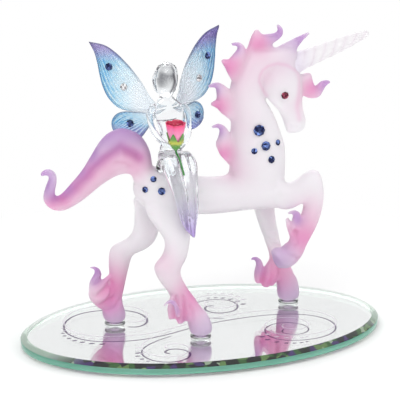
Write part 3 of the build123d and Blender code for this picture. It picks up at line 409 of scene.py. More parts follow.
# Each curl: its places in the side view, its width at each place, and its greatest thickness, in mm
CURLS = [
    (
        ((7.5, 79.5), (7.6, 83.6), (7.2, 86.0), (6.1, 87.6), (4.5, 88.3), (2.8, 87.8)),
        (7.0, 4.9, 3.1, 1.9, 1.4, 0.9), 4.4,
    ),
    (((12, 77), (8.5, 78.5), (6.2, 80.2), (4.8, 81.6)), (13, 8.5, 4.5, 1.0), 4.8),
    (
        ((8.6, 98.2), (7.1, 101.0), (6.0, 103.0), (4.8, 104.5), (3.1, 104.9), (1.3, 104.5)),
        (9.0, 6.2, 4.0, 2.4, 1.6, 1.0), 4.4,
    ),
    (((12, 95.5), (8, 96.2), (4.9, 97.0), (2.4, 97.2)), (13, 8.0, 3.6, 0.8), 4.8),
    (
        ((12.5, 113), (14.3, 116.6), (14.8, 118.8), (13.9, 120.2), (12.6, 120.8), (11.2, 120.7)),
        (7.0, 4.2, 2.9, 1.8, 1.3, 0.9), 4.4,
    ),
    (((15.5, 108.5), (12, 110.9), (9.2, 112.8), (6.9, 114.2)), (12, 8.4, 4.0, 0.8), 4.8),
    (
        ((21, 119.5), (25.5, 121.4), (29.0, 122.3), (31.1, 123.5), (31.6, 125.1), (30.5, 126.8)),
        (9.0, 4.8, 3.1, 2.5, 2.0, 1.0), 4.4,
    ),
    (((22.5, 117), (21.6, 121.5), (21.1, 125.3)), (13, 7.0, 0.9), 4.8),
    (((33, 115.5), (37.2, 119.0), (40.8, 121.5), (43.4, 122.9)), (8.0, 4.0, 1.9, 0.9), 4.2),
]

# %% Tufts behind the hooves
# Each form, written as a curl of the mane is, and last the y of its own middle
TUFTS = [
    (
        (
            (-43.6, 19.2), (-44.5, 22.4), (-43.4, 24.6), (-42.3, 26.2), (-41.9, 27.8), (-42.4, 29.3),
            (-43.7, 30.4), (-44.8, 30.4),
        ),
        (4.2, 3.8, 3.4, 3.2, 2.7, 1.8, 0.9, 0.5), 3.4, 8.6,
    ),
    (((-44.3, 19.8), (-41.0, 22.0), (-38.4, 24.6), (-37.1, 26.4)), (3.8, 3.8, 2.8, 0.8), 4.0, 7.6),
    (((-44.3, 17.4), (-41.0, 17.6), (-38.2, 19.4), (-37.0, 22.2)), (3.8, 4.8, 4.0, 1.2), 6.5, 7.4),
    (((-45.2, 20.4), (-43.6, 18.2), (-40.5, 15.6), (-37.2, 13.6)), (2.6, 4.8, 6.0, 6.0), 6.5, 8.8),
    (
        (
            (-18.6, 15.5), (-19.0, 18.2), (-19.4, 20.2), (-20.3, 21.9), (-21.8, 22.8), (-23.2, 22.5),
            (-24.3, 21.5),
        ),
        (1.6, 2.0, 1.9, 1.7, 1.3, 0.9, 0.6), 2.0, -22.3,
    ),
    (((-18.6, 25.0), (-19.8, 21.5), (-20.4, 18.0), (-20.4, 14.6)), (1.6, 2.6, 2.8, 1.6), 4.0, -18.5),
    (((-16.6, 24.5), (-17.2, 20.0), (-17.0, 16.0), (-16.6, 12.6)), (2.0, 4.0, 4.2, 2.0), 6.0, -19.0),
    (((-14.0, 23.5), (-14.2, 19.5), (-13.8, 16.0), (-13.4, 13.4)), (3.0, 4.2, 4.2, 2.4), 6.5, -18.8),
    (
        (
            (29.4, 15.6), (28.7, 17.4), (28.6, 19.1), (28.8, 20.9), (29.2, 22.6), (29.3, 23.9),
            (28.8, 25.3), (27.6, 26.5), (26.3, 26.9), (25.9, 26.6),
        ),
        (3.0, 3.8, 4.0, 3.7, 3.0, 2.8, 2.3, 1.5, 0.9, 0.6), 3.6, 9.5,
    ),
    (((35.0, 26.0), (33.2, 21.5), (32.2, 17.8), (31.8, 14.4)), (2.0, 4.2, 4.8, 2.6), 6.5, 9.0),
    (((37.5, 24.0), (36.2, 19.5), (35.0, 16.6), (34.2, 14.8)), (4.0, 4.6, 4.4, 2.6), 6.5, 9.4),
    (
        ((34.2, 45.5), (34.4, 47.6), (34.7, 49.8), (34.6, 51.2), (33.6, 52.4), (32.3, 52.8), (31.2, 52.4)),
        (3.2, 4.0, 4.0, 3.4, 1.9, 1.1, 0.7), 3.0, -16.6,
    ),
    (((35.0, 40.5), (33.6, 43.4), (32.3, 46.4), (31.4, 49.0)), (3.4, 3.0, 2.4, 1.2), 4.0, -14.4),
    (((36.5, 37.2), (33.4, 37.7), (31.3, 37.4)), (6.0, 4.8, 2.8), 5.5, -14.3),
    (((30.6, 30.8), (28.6, 33.2), (27.3, 35.2), (26.6, 36.2)), (7.5, 7.0, 5.4, 3.4), 7.0, -14.8),
]


# %% Curl forms
CURL_ROWS, CURL_COLUMNS = 30, 24
TIP_REACH = 0.8
CURL_SWELL = 0.4


def curl_form(places, widths, thickness, level=MIDDLE_Y):
    """A closed rod along a smooth line: line(t) + w(t)/2 * cos(a) across it + d(t)/2 * sin(a) along y.

    The line and its width w are drawn through the places and smoothed; d is w, up to the thickness.
    """
    line = np.asarray(places, float)
    tip_way = line[-1] - line[-2]
    line[-1] += TIP_REACH * tip_way / np.hypot(*tip_way)
    fine = np.linspace(0, len(line) - 1, CURL_ROWS)
    route = np.stack([np.interp(fine, range(len(line)), line[:, axis]) for axis in range(2)], 1)
    width = np.interp(fine, range(len(line)), widths) + CURL_SWELL
    for _ in range(6):
        route[1:-1] = (route[:-2] + 2 * route[1:-1] + route[2:]) / 4
        width[1:-1] = (width[:-2] + 2 * width[1:-1] + width[2:]) / 4
    run = np.gradient(route, axis=0)
    run /= np.hypot(*run.T)[:, None]
    turn = np.linspace(0, 2 * np.pi, CURL_COLUMNS, endpoint=False)
    across = np.cos(turn)[None, :] * width[:, None] / 2
    aside = np.sin(turn)[None, :] * np.minimum(width * 0.95, thickness)[:, None] / 2
    x = route[:, :1] - run[:, 1:] * across
    z = route[:, 1:] + run[:, :1] * across
    points = np.stack([x, aside + level, z], -1).reshape(-1, 3)
    first_cap, last_cap = end_caps(CURL_ROWS, CURL_COLUMNS)
    return points, grid_faces(CURL_ROWS, CURL_COLUMNS).tolist() + [first_cap[::-1], last_cap]


curl_forms = [curl_form(*curl) for curl in CURLS + TUFTS]
print("curls of the mane and tufts", len(curl_forms))

# %% [markdown]
# ## The gap behind the jaw
# The jaw stands a little off the neck. A remesh would close so thin a gap, so before it the copies
# of the head and the neck are pushed back to their own sides of a line: a point nearer to the
# line than half the gap moves out until it is that far away. The line is drawn as the camera
# sees it, so it slants in depth. The hooves are widened a little in the same step.

# %% Gap line
GAP_LINE = np.array((
    (24.8, 99.0), (26.1, 96.8), (28.1, 94.3), (29.8, 91.9), (31.3, 88.7), (32.8, 84.7),
    (34.2, 80.5),
))
GAP_HALF = np.array((0.55, 0.75, 1.0, 1.3, 1.35, 1.2, 1.1))
GAP_SLANT = 0.378
GAP_START = 1.2
GAP_SIDES = {"unicorn_head": 1, "unicorn_neck": -1}
HOOF_WIDENING = (1.06, 1.06, 1.0)


def parted(node, points):
    """Widen a hoof, or push the head or the neck away from the gap line, to its own side."""
    if node.endswith("_hoof"):
        middle = points.mean(0)
        return middle + (points - middle) * HOOF_WIDENING
    if node not in GAP_SIDES:
        return points
    slant = GAP_SLANT * (points[:, 1] - MIDDLE_Y)
    flat = np.stack([points[:, 0] - slant, points[:, 2]], 1)
    best = np.full(len(points), np.inf)
    moved = points.copy()
    for number, (start, end) in enumerate(zip(GAP_LINE, GAP_LINE[1:])):
        length = np.hypot(*(end - start))
        way = (end - start) / length
        out = np.array((-way[1], way[0])) * GAP_SIDES[node]
        offset = flat - start
        run = np.clip(offset @ way, 0, length)
        away = np.hypot(*(offset - run[:, None] * way).T)
        half = np.interp(run / length, (0, 1), GAP_HALF[number:number + 2])
        inside = away < best
        if number == 0:
            inside &= offset @ way > 0
        push = np.clip(half - offset @ out, 0, None) * inside
        if number == 0:
            push *= np.clip(run / GAP_START, 0, 1)
        moved[inside, 0] = (points[:, 0] + push * out[0])[inside]
        moved[inside, 2] = (points[:, 2] + push * out[1])[inside]
        best = np.minimum(best, away)
    return moved


print("gap behind the jaw", len(GAP_LINE), "places")

# %% [markdown]
# ## One skin
# The CAD nodes of the curls are left out of the remesh, because the curl forms stand in for them.
# The first smoothing leaves the curled tips and the gap alone; the second one is light.

# %% Fused body
LEGS = ("far_hind", "near_hind", "far_fore", "near_fore")
MANE_NODES = ["mane_low_lock", "mane_middle_lock", "mane_high_lock", "mane_crown_lock", "mane_spike"]
FROSTED_NODES = ["unicorn_torso", "unicorn_neck", "unicorn_poll", "unicorn_head", "unicorn_tail"]
FROSTED_NODES += [*MANE_NODES, "forelock"]
FROSTED_NODES += [leg + part for leg in LEGS for part in ("_leg", "_hoof", "_tuft")]
CURLED_NODES = MANE_NODES + [leg + "_tuft" for leg in LEGS]
BODY_SWELL = 0.25
BODY_VOXEL = 0.52
solid_nodes = [node for node in FROSTED_NODES if node not in CURLED_NODES]
body_forms = []
for node in solid_nodes:
    points, faces = node_copy(node, BODY_SWELL)
    body_forms.append((parted(node, points), faces))
body = fused("frosted_unicorn", body_forms + curl_forms, BODY_VOXEL)

# %% Softened body
# Tips that stay sharp, as spots: x, y, z, radius and strength
CURLED_TIPS = [
    (4.5, -5, 86, 6, 1), (3, -5, 102.5, 6, 1), (11.5, -5, 119, 5, 1), (31, -5, 124, 6, 1),
    (41, -5, 121, 6, 1), (52, -4, 101.5, 6, 1), (-67, -5, 71, 9, 1), (-45, 8.5, 28, 7, 1),
    (-23, -19, 21, 6, 1), (26, 9.5, 26, 7, 1), (33, -14, 51, 6, 1), (47, -4, 98, 5, 0.8),
    (-40, 9, 18, 6, 0.8), (-16, -18.5, 16, 6, 0.8), (32, 9.5, 16, 7, 0.8),
]
CURLED_TIPS += [(x, MIDDLE_Y, z, 6, 1) for places, _, _ in CURLS for x, z in places[-2:]]
CURLED_TIPS += [(x, level, z, 3.5, 1) for places, _, _, level in TUFTS for x, z in places[-3:]]
points = points_of(body)
tips = nearness(points, CURLED_TIPS)
softened(body, (1 - tips) * (1 - stripe(points, GAP_LINE, 3.0)), 40)
softened(body, 1 - 0.6 * tips, 4)
print("frosted skin", len(body.polygons), "faces")

# %% [markdown]
# ## Folds in the tail and the tufts
# The tail and the tufts were pinched with a tool while soft, which leaves valleys. Each valley is
# a line in the side view; the skin sinks by depth * e^-(d/w)^2, where d is the distance from it.
# The mouth and the nostril are two more such lines.

# %% Pinched folds
# Each fold: its line in the side view, its width and its depth
FOLDS = [
    (((-31, 80), (-37.4, 83.7), (-44.1, 79.7), (-48.5, 76.0), (-51.9, 72.3), (-60.9, 65.0)), 2.0, 1.3),
    (((-39.8, 77.6), (-35.8, 77.3), (-33.5, 75.7)), 1.0, 0.6),
    (((-41.4, 12.4), (-38.6, 12.2), (-35.5, 13.5), (-33.4, 16.2)), 0.8, 0.8),
    (((-42.5, 14.9), (-39.7, 16.1), (-38.1, 17.7), (-37.1, 20.2), (-37.4, 23.5)), 0.75, 1.0),
    (((-44.2, 18.6), (-41.3, 20.5), (-39.5, 22.1), (-37.6, 24.4)), 0.7, 0.9),
    (((-46, 22.6), (-43.3, 24.0), (-40.8, 25.9)), 0.6, 0.6),
    (((-19.0, 24.0), (-18.4, 19.3), (-18.3, 13.5)), 0.6, 0.8),
    (((-15.9, 23.5), (-15.4, 19.0), (-15.2, 13.0)), 0.6, 0.8),
    (((-13.0, 19.0), (-12.3, 16.0), (-12.6, 13.4)), 0.8, 0.8),
    (((31.4, 23.5), (30.7, 20.9), (29.9, 18.6), (29.6, 15.5)), 0.7, 0.9),
    (((33.6, 23.5), (33.6, 19.5), (33.0, 15.0)), 0.6, 0.6),
    (((36.2, 24.0), (36.9, 20.4), (36.7, 18.1), (35.3, 14.8)), 0.8, 0.9),
    (((32.6, 48.1), (34.1, 46.0), (34.0, 42.7), (34.7, 39.7), (32.7, 38.9), (31.0, 39.9)), 0.6, 0.7),
    (((28.3, 37.9), (30.7, 35.7), (32.8, 34.7), (35.0, 33.3)), 0.8, 0.8),
    (((35.6, 82.2), (35.1, 84.6), (35.5, 86.4)), 0.8, 0.7),
    (((37.4, 86.6), (38.2, 86.3)), 0.6, 0.45),
]
points = points_of(body)
normals = normals_of(body)
sunk = np.zeros(len(points))
for line, width, depth in FOLDS:
    sunk += depth * stripe(points, line, width)
# Only the tail, the legs and the head were pinched
side_on = np.abs(normals[:, 1]) ** 1.5
pinched = (points[:, 0] < -25) | (points[:, 2] < 54) | (points[:, 0] > 34)
set_points(body, points - normals * (sunk * side_on * pinched)[:, None])
softened(body, np.ones(len(points)), 2)
print("folds", len(FOLDS), "deepest", round(float(sunk.max()), 2), "mm")

# %% [markdown]
# ## Rubbed-in colour
# Colour was rubbed in where the glass was hot: pink in the mane, tail and fetlocks, lilac on
# every curled tip and on the hooves. It is kept as a value for each point, worked out from its
# distance to a few spots, and from soft stripes along the cheek, the nose and the tail. Low on
# the legs and hooves the colour is also painted lighter, as painted light from below.

# %% Colour spots
# Each spot: x, y, z, radius and strength
PINK_SPOTS = [
    (7, -5, 77, 5, 1), (4.5, -5, 96, 5.5, 1), (9, -5, 112, 5.5, 1), (21.5, -5, 120.5, 5.5, 1),
    (13, -5, 88, 8, 0.22), (13, -5, 104, 8, 0.22), (18, -5, 114, 8, 0.25), (45, -4, 100.5, 5.5, 1),
    (12, -5, 70, 7, 0.4), (-29, -5, 78, 6, 0.9), (-36, -5, 80.5, 5.5, 0.95), (-43, -5, 77, 5, 0.85),
    (-49, -5, 72.5, 5, 0.85), (-55, -5, 67, 4.5, 0.8), (-60, -5, 63.5, 4.5, 0.9), (-65, -5, 62.5, 4, 0.95),
    (-42, -5, 73, 5, 0.4), (-50, -5, 67.5, 4, 0.45), (-31, -5, 74.5, 5, 0.5), (-35.5, 9, 22, 8, 1),
    (-38, 9, 15, 7, 1), (-36, 9, 30, 7, 0.35), (-12, -17, 23, 8.5, 0.95), (-17, -18, 15.5, 6.5, 0.9),
    (-23, -16, 37, 6, 0.35), (39, 11, 24, 8, 0.95), (32, 9.5, 17, 7.5, 1), (41, 12, 15, 6, 0.7),
    (37.5, -15, 41.5, 8.5, 1), (34.5, -15, 33, 4, 0.5), (41, -14.5, 52, 7, 0.35), (31, -5, 112, 7, 0.25),
    (37.5, -5, 96, 4.5, 0.35), (24, -5, 107, 5, 0.3),
]
LILAC_SPOTS = [
    (4.5, -5, 86.5, 3.6, 1), (2.5, -5, 103.5, 3.6, 1), (11.5, -5, 119.5, 3.4, 1), (30.5, -5, 124, 4.6, 1),
    (27, -5, 123, 3, 0.6), (40, -5, 120.5, 5.5, 0.95), (52, -4, 101.5, 4.6, 1), (-24, -5, 80, 4.5, 0.9),
    (-27, -5, 87.5, 5.5, 1), (-34, -5, 91, 6, 1), (-42, -5, 89, 6, 1), (-48.5, -5, 82, 4.5, 1),
    (-54, -5, 75, 4, 0.95), (-59, -5, 68.5, 3.5, 0.9), (-65, -5, 67, 3.2, 1), (-67.5, -5, 71, 4.5, 1),
    (-68, -5, 75, 5, 0.85), (-35, -5, 88, 5, 0.85), (-42, -5, 85, 4, 0.8), (-30, -5, 85, 4, 0.7),
    (-48, -5, 79.5, 3, 0.6), (-34.5, 9.8, 8.5, 7, 0.8), (-7.6, -18.4, 8.5, 7, 0.8), (43.5, 12, 9, 7.5, 0.8),
    (28.0, -15, 33.5, 6.5, 0.97), (-43, 8.5, 29, 3.8, 1), (-43.5, 8.5, 25, 3.0, 0.7),
    (-21.8, -24.5, 22.5, 3.4, 1), (-19.2, -24.5, 18.5, 2.6, 0.9), (26.5, 9.5, 26.5, 3.8, 1),
    (28.6, 9.5, 21.5, 3.2, 0.5), (33.2, -19.2, 52.0, 3.3, 1), (34.6, -19.2, 49.5, 2.8, 0.9),
    (35, -5, 113, 6, 0.25),
]
CHEEK_LINE = (
    (24.6, 99.5), (22.4, 102.5), (20.4, 105.9), (20.6, 108.2), (21.8, 110.4), (24.2, 111.9), (28.2, 112.6),
    (32.2, 111.8), (35.7, 109.5),
)
TAIL_LINE = (
    (-30, 79.0), (-33.1, 81.4), (-37.4, 83.7), (-40.8, 81.7), (-44.1, 79.7), (-48.5, 76.2), (-51.9, 72.4),
    (-55.9, 68.8), (-60.9, 65.3), (-64.8, 65.0),
)
BRIDGE_LINE = ((37.1, 108.6), (38.1, 105.2), (37.9, 99.6), (37.3, 94.0), (38.6, 89.1))

# %% Rubbed-in colour and painted light
MILKY = (0.80, 0.772, 0.804)
PINK = (0.72, 0.20, 0.46)
LILAC = (0.43, 0.225, 0.52)
DEEP_PINK = (0.50, 0.12, 0.36)
COLOUR_STRENGTH = 0.92
points = points_of(body)
blush = nearness(points, PINK_SPOTS)[:, None] * COLOUR_STRENGTH
lilac = nearness(points, LILAC_SPOTS)[:, None] * COLOUR_STRENGTH
cheek = stripe(points, CHEEK_LINE, 0.75)[:, None] * 0.22
bridge = stripe(points, BRIDGE_LINE, 1.3)[:, None] * 0.22
blush = 1 - (1 - blush) * (1 - cheek) * (1 - bridge)
tail_core = stripe(points, TAIL_LINE, 2.3)[:, None] * 0.7 * (points[:, :1] < -26)
colours = blend(blend(blend(MILKY, PINK, blush), DEEP_PINK, tail_core), LILAC, lilac)
# Painted light: below 24 mm the colour grows up to 14% lighter towards the floor, for light thrown up from
# below
painted_bounce_light = 1 + 0.14 * rising(points[:, 2:], 24, 8)
set_colour(body, "rubbed_colour_and_painted_light", np.minimum(colours * painted_bounce_light, 0.86))
print("mean colour", colours.mean(0).round(3))

# %% [markdown]
# ## Frosted glass
# Acid leaves a skin of tiny pits: it scatters light, so gloss is broad and soft, and light runs
# a few millimetres under the surface. Subsurface light gives the milk, a little rough
# transmission lets thin places glow, and a fine noise bump stands for the pits. The bump is a
# group of nodes, because wings, rose and felt use it too.


# %% Fine grain group
def grain_group():
    """A group that puts out a normal roughened by fine noise: pits per metre, and their depth."""
    group = bpy.data.node_groups.new("fine_grain", "ShaderNodeTree")
    for name in ("Density", "Depth"):
        group.interface.new_socket(name, in_out="INPUT", socket_type="NodeSocketFloat")
    group.interface.new_socket("Normal", in_out="OUTPUT", socket_type="NodeSocketVector")
    start = add_node(group, "NodeGroupInput")
    place = add_node(group, "ShaderNodeTexCoord").outputs["Object"]
    pits = {"Vector": place, "Scale": start.outputs["Density"], "Detail": 2.0}
    height = add_node(group, "ShaderNodeTexNoise", pits).outputs[0]
    bumps = {"Height": height, "Strength": start.outputs["Depth"], "Distance": 0.0002}
    add_node(group, "NodeGroupOutput", {"Normal": add_node(group, "ShaderNodeBump", bumps).outputs[0]})
    return group


FINE_GRAIN = grain_group()
print("group", FINE_GRAIN.name)


# %% Material helpers
def object_place(tree):
    """A point's place on its piece, in metres."""
    return add_node(tree, "ShaderNodeTexCoord").outputs["Object"]


def shader(name, values, grain=None):
    """A material with one Principled shader; grain is its pits per metre and their depth."""
    material = bpy.data.materials.new(name)
    tree = node_tree(material)
    principled = add_node(tree, "ShaderNodeBsdfPrincipled", values)
    if grain:
        pits = add_node(tree, "ShaderNodeGroup", node_tree=FINE_GRAIN)
        pits.inputs["Density"].default_value, pits.inputs["Depth"].default_value = grain
        tree.links.new(pits.outputs["Normal"], principled.inputs["Normal"])
    add_node(tree, "ShaderNodeOutputMaterial", {"Surface": principled.outputs[0]})
    return material, tree, principled


def painted(name, layer, values, grain=None):
    """A material whose colour is the one that a layer keeps for each point."""
    material, tree, principled = shader(name, values, grain)
    colour = add_node(tree, "ShaderNodeVertexColor", layer_name=layer).outputs["Color"]
    tree.links.new(colour, principled.inputs["Base Color"])
    return material


def clouded(name, dark, light, scale, detail, values, grain=None):
    """A material whose colour drifts between two shades with noise of so many waves per metre."""
    material, tree, principled = shader(name, values, grain)
    clouds = {"Vector": object_place(tree), "Scale": scale, "Detail": detail}
    noise = add_node(tree, "ShaderNodeTexNoise", clouds).outputs[0]
    tree.links.new(mixed(tree, noise, dark, light), principled.inputs["Base Color"])
    return material


# %% Frosted unicorn
frosted = painted("frosted_glass", "rubbed_colour_and_painted_light", {
    "Roughness": 0.46, "IOR": 1.45, "Transmission Weight": 0.12, "Specular IOR Level": 0.45,
    "Subsurface Weight": 0.5, "Subsurface Scale": 0.004, "Subsurface Radius": (1.0, 0.85, 0.95),
}, (2600, 0.25))
piece("frosted_unicorn", body, frosted, FROSTED_NODES)

# %% [markdown]
# ## Horn
# The horn is a tapered rod that was twisted while soft. Its section is a circle with three soft
# ridges that turn as it goes up: R(a, t) = r(t) * (1 - depth * (1 - ridge(a, t))), where a is the
# angle round the horn and t goes from 0 at its root to 1 at its tip. The ridges fade in over the
# first part of the horn, the root flares into a collar where it meets the brow, and the tip is
# rounded.

# %% Horn sizes
# Directions have length 1; sizes are in mm, and the taper gives a radius for each place along the horn
HORN_WAY = np.array((0.953, 0.0, 0.302)) / np.hypot(0.953, 0.302)
HORN_SIDE = np.array((0.0, 1.0, 0.0))
HORN_UP = np.cross(HORN_WAY, HORN_SIDE)
HORN_ROOT = np.array((37.70, -5.0, 111.28))
HORN_LENGTH = 34.3
HORN_TURNS = 2.4
HORN_ROWS, HORN_COLUMNS = 180, 96
# How deep the valleys are, as a share of the radius, and how far the root flares, in mm
RIDGE_DEPTH, COLLAR_WIDTH = 0.10, 1.1
# Where the ridges are whole, and where the tip starts to round and how long it is, in shares of the length
RIDGES_WHOLE, TIP_START, TIP_LENGTH = 0.15, 0.955, 0.045
HORN_TAPER = ((-0.09, 0.0, 0.25, 0.5, 0.65, 0.85, 1.0), (4.1, 3.95, 3.6, 3.2, 2.85, 2.0, 1.35))


def ridge(around, along):
    """How high the ridges stand, from 0 to 1: |sin(1.5 * (a + twist * t))|^0.6."""
    twist = 2 * np.pi * HORN_TURNS * np.clip(along, 0, 1)
    return np.abs(np.sin(1.5 * (around + twist))) ** 0.6


# %% Twisted horn
along = np.linspace(HORN_TAPER[0][0], 1.0, HORN_ROWS)
angle = np.linspace(0, 2 * np.pi, HORN_COLUMNS, endpoint=False)
radius = np.interp(along, *HORN_TAPER) + COLLAR_WIDTH * np.exp(-np.clip(along + 0.02, 0, 1) / 0.05)
rounded = np.sqrt(np.clip(1 - ((along - TIP_START) / TIP_LENGTH).clip(0, 1) ** 2, 0, 1))
fade = np.clip(along / RIDGES_WHOLE, 0, 1)[:, None]
groove = RIDGE_DEPTH * (1 - ridge(angle[None, :], along[:, None]))
section = (radius * rounded)[:, None] * (1.0 - groove * fade)
round_way = np.cos(angle)[None, :, None] * HORN_SIDE + np.sin(angle)[None, :, None] * HORN_UP
points = HORN_ROOT + HORN_WAY * (HORN_LENGTH * along)[:, None, None] + section[:, :, None] * round_way
root_cap = end_caps(HORN_ROWS, HORN_COLUMNS)[:1]
horn_mesh = new_mesh("twisted_horn", points.reshape(-1, 3), grid_faces(HORN_ROWS, HORN_COLUMNS), root_cap)
print("horn", HORN_LENGTH, "mm long with", HORN_TURNS, "turns")

# %% Horn glass
horn_points = points_of(horn_mesh) - HORN_ROOT
height = horn_points @ HORN_WAY
around = np.arctan2(horn_points @ HORN_UP, horn_points @ HORN_SIDE)
# Painted shade: the valleys between the ridges are painted darker, fading in over the first 5 mm
painted_groove_shade = ((1 - ridge(around, height / HORN_LENGTH)) * np.clip(height / 5, 0, 1))[:, None]
root_share = np.clip(1 - height / 10.0, 0, 1)[:, None] ** 1.3 * 0.4
horn_colour = blend((0.83, 0.81, 0.83), (0.66, 0.54, 0.76), root_share)
set_colour(horn_mesh, "rubbed_colour_and_painted_light", blend(horn_colour, (0.70, 0.60, 0.68), 0.5 * painted_groove_shade))
satin = painted("satin_horn_glass", "rubbed_colour_and_painted_light", {
    "Roughness": 0.32, "IOR": 1.48, "Transmission Weight": 0.10,
}, (2600, 0.12))
piece("twisted_horn", horn_mesh, satin, ["unicorn_horn"])

# %% [markdown]
# ## Clear fairy
# The rider is clear glass, drawn from one rod: the head, arms and legs are fused to the body
# while hot. Clear glass on white is only seen by its edges, so its shape matters more than its
# colour. Long flutes run down the legs, shallow curls run through the hair, and violet was melted
# in towards the toes. The one dark stroke in the hair is a painted reflection: colour painted dark
# where the thick glass shows the dark.

# %% Fused fairy
FAIRY_NODES = ["fairy_body", "fairy_head", "fairy_hair"]
FAIRY_NODES += ["fairy_right_arm", "fairy_left_arm", "fairy_right_leg", "fairy_left_leg"]
FAIRY_X = -16.9
FAIRY_SWELL = 0.12
FAIRY_VOXEL = 0.3
fairy = fused("clear_fairy", [node_copy(node, FAIRY_SWELL) for node in FAIRY_NODES], FAIRY_VOXEL)
points = points_of(fairy)
slim = 1 - 0.15 * rising(points[:, 2], 101, 104)
points[:, 0] = FAIRY_X + (points[:, 0] - FAIRY_X) * slim
set_points(fairy, points)
softened(fairy, np.where(points[:, 2] > 82, 0.55, 1.0), 14)

# %% Flutes and hair
# How deep the flutes of the legs and the curls of the hair are, in mm
FLUTE_DEPTH, CURL_DEPTH = 0.42, 0.13
# A flute is depth * cos(n * s), with s the place across the leg; a curl is depth * sin(n * a + m * r)
# round the hair's middle
KNEE_LEVEL, TOE_LEVEL = 82, 48
HAIR_X, HAIR_LEVEL = -17, 110
points = points_of(fairy)
normals = normals_of(fairy)
run = rising(points[:, 2], KNEE_LEVEL, TOE_LEVEL)
spread = (points[:, 0] - (-17.5 + 4.6 * run)) / (1 - 0.55 * run)
flute = FLUTE_DEPTH * np.cos(spread * 1.9) * np.clip(run * 6, 0, 1) * np.clip((1 - run) * 5, 0, 1)
flute *= np.clip(-normals[:, 1], 0, 1)
hair_x, hair_z = points[:, 0] - HAIR_X, points[:, 2] - HAIR_LEVEL
curl = CURL_DEPTH * np.sin(3.5 * np.arctan2(hair_z, hair_x) + 1.19 * np.hypot(hair_x, hair_z))
curl *= rising(points[:, 2], 106, 111) * rising(points[:, 1], -10, -6)
set_points(fairy, points + normals * (flute + curl)[:, None])
print("flutes and curls", round(float(np.abs(flute + curl).max()), 2), "mm at most")

# %% Clear glass
HAIR_SHADE = (
    (-16.3, 111.2), (-15.9, 109.4), (-16.3, 107.8), (-16.7, 106.3), (-17.4, 105.0),
    (-17.8, 103.9),
)
points = points_of(fairy)
violet = rising(points[:, 2:], 66, 50) ** 1.3
# Painted reflection: a dark stroke painted into the hair's colour, where the thick glass shows the dark
shade = stripe(points, HAIR_SHADE, 0.72)[:, None] * (points[:, 2:] > 102.5) * 0.99
glass = blend((0.93, 0.955, 0.975), (0.52, 0.40, 0.78), violet)
set_colour(fairy, "melted_colour_and_painted_light", blend(glass, (0.015, 0.015, 0.025), shade))
clear_glass = painted("clear_glass", "melted_colour_and_painted_light", {
    "Roughness": 0.015, "IOR": 1.5, "Transmission Weight": 1.0,
})
piece("clear_fairy", fairy, clear_glass, FAIRY_NODES)

# %% [markdown]
# ## Wings
# Each wing is a thin cast plate: flat behind, with veins in relief that fan out from its root.
# The grid runs from root to tip and from the upper edge to the lower edge; the upper and lower
# edges are smooth curves through a few places, and a point is a blend of the two. The places are
# shares of the wing's span, and the four wings were shaped by hand, so no two are quite alike.

# %% Wing outlines
SADDLE = np.array((-17.028, -5.0, 70.032))
FAIRY_SCALE = 40.0
WING_ROOT = SADDLE + FAIRY_SCALE * np.array((0.005, -0.025, 0.72))
WING_SPAN = 33.0
WING_ROWS = WING_COLUMNS = 150
# Half the plate's thickness, and the height of the main and the side veins, in mm
WING_HALF, MAIN_RELIEF, SIDE_RELIEF = 0.55, 0.26, 0.14
# How far a root lies from the middle, in mm
ROOT_OFFSET = 1.08
# Degrees: the mean sweep backwards, how much more it is on the right and less on the left, and how
# far the left wings tilt up and the right ones down
WING_SWEEP, SWEEP_CHANGE, WING_ROLL = 38.2, 7.7, 3.6
# Where the stones sit, in shares of the span; the veins leave them room
WING_STONES = ((0.72, 0.44), (0.48, -0.245), (0.535, 0.20))
UPPER_TOP = [
    (0.00, -0.02), (0.10, 0.01), (0.20, 0.12), (0.28, 0.26), (0.40, 0.42), (0.50, 0.53), (0.62, 0.64),
    (0.77, 0.73), (0.98, 0.77),
]
UPPER_LOW = [
    (0.00, -0.03), (0.18, -0.062), (0.36, -0.075), (0.53, -0.065), (0.66, -0.02), (0.77, 0.09),
    (0.83, 0.22), (0.86, 0.35), (0.88, 0.50), (0.91, 0.63), (0.98, 0.77),
]
LOWER_TOP = [
    (0.00, -0.05), (0.18, -0.073), (0.36, -0.078), (0.52, -0.075), (0.62, -0.11), (0.68, -0.18),
    (0.69, -0.26), (0.66, -0.33), (0.57, -0.385),
]
LOWER_LOW = [(0.00, -0.05), (0.16, -0.18), (0.25, -0.30), (0.34, -0.40), (0.44, -0.41), (0.57, -0.385)]
WING_STRETCH = {"lower_wing_left": 0.88, "lower_wing_right": 1.08}
RIGHT_WING_DROP = 0.030


def smooth_curve(places, count):
    """A smooth curve through places (Catmull-Rom), as count points evenly spaced along it."""
    padded = np.concatenate([2 * places[:1] - places[1:2], places, 2 * places[-1:] - places[-2:-1]])
    share = np.linspace(0, 1, 24, endpoint=False)[:, None]
    parts = []
    for a, b, c, d in zip(padded, padded[1:], padded[2:], padded[3:]):
        square = (2 * a - 5 * b + 4 * c - d) * share ** 2
        parts.append(0.5 * (2 * b + (c - a) * share + square + (3 * b - a - 3 * c + d) * share ** 3))
    dense = np.concatenate(parts + [places[-1:]])
    reach = np.concatenate([[0], np.cumsum(np.hypot(*(dense[1:] - dense[:-1]).T))])
    wanted = np.linspace(0, reach[-1], count)
    return np.stack([np.interp(wanted, reach, dense[:, axis]) for axis in range(2)], 1)


def wing_edges(name, top, low):
    """A wing's upper and lower edge: the shared outline with this wing's own changes."""
    top, low = np.array(top), np.array(low)
    if name == "upper_wing_left":
        top[2:8, 0] -= (0.03, 0.06, 0.08, 0.08, 0.07, 0.04)
    for edge in (top, low):
        edge[:, 0] *= WING_STRETCH.get(name, 1.0)
        if name.endswith("right"):
            edge[:, 1] -= RIGHT_WING_DROP * np.clip(edge[:, 0] * 5, 0, 1)
    return smooth_curve(top, WING_ROWS)[:, None, :], smooth_curve(low, WING_ROWS)[:, None, :]


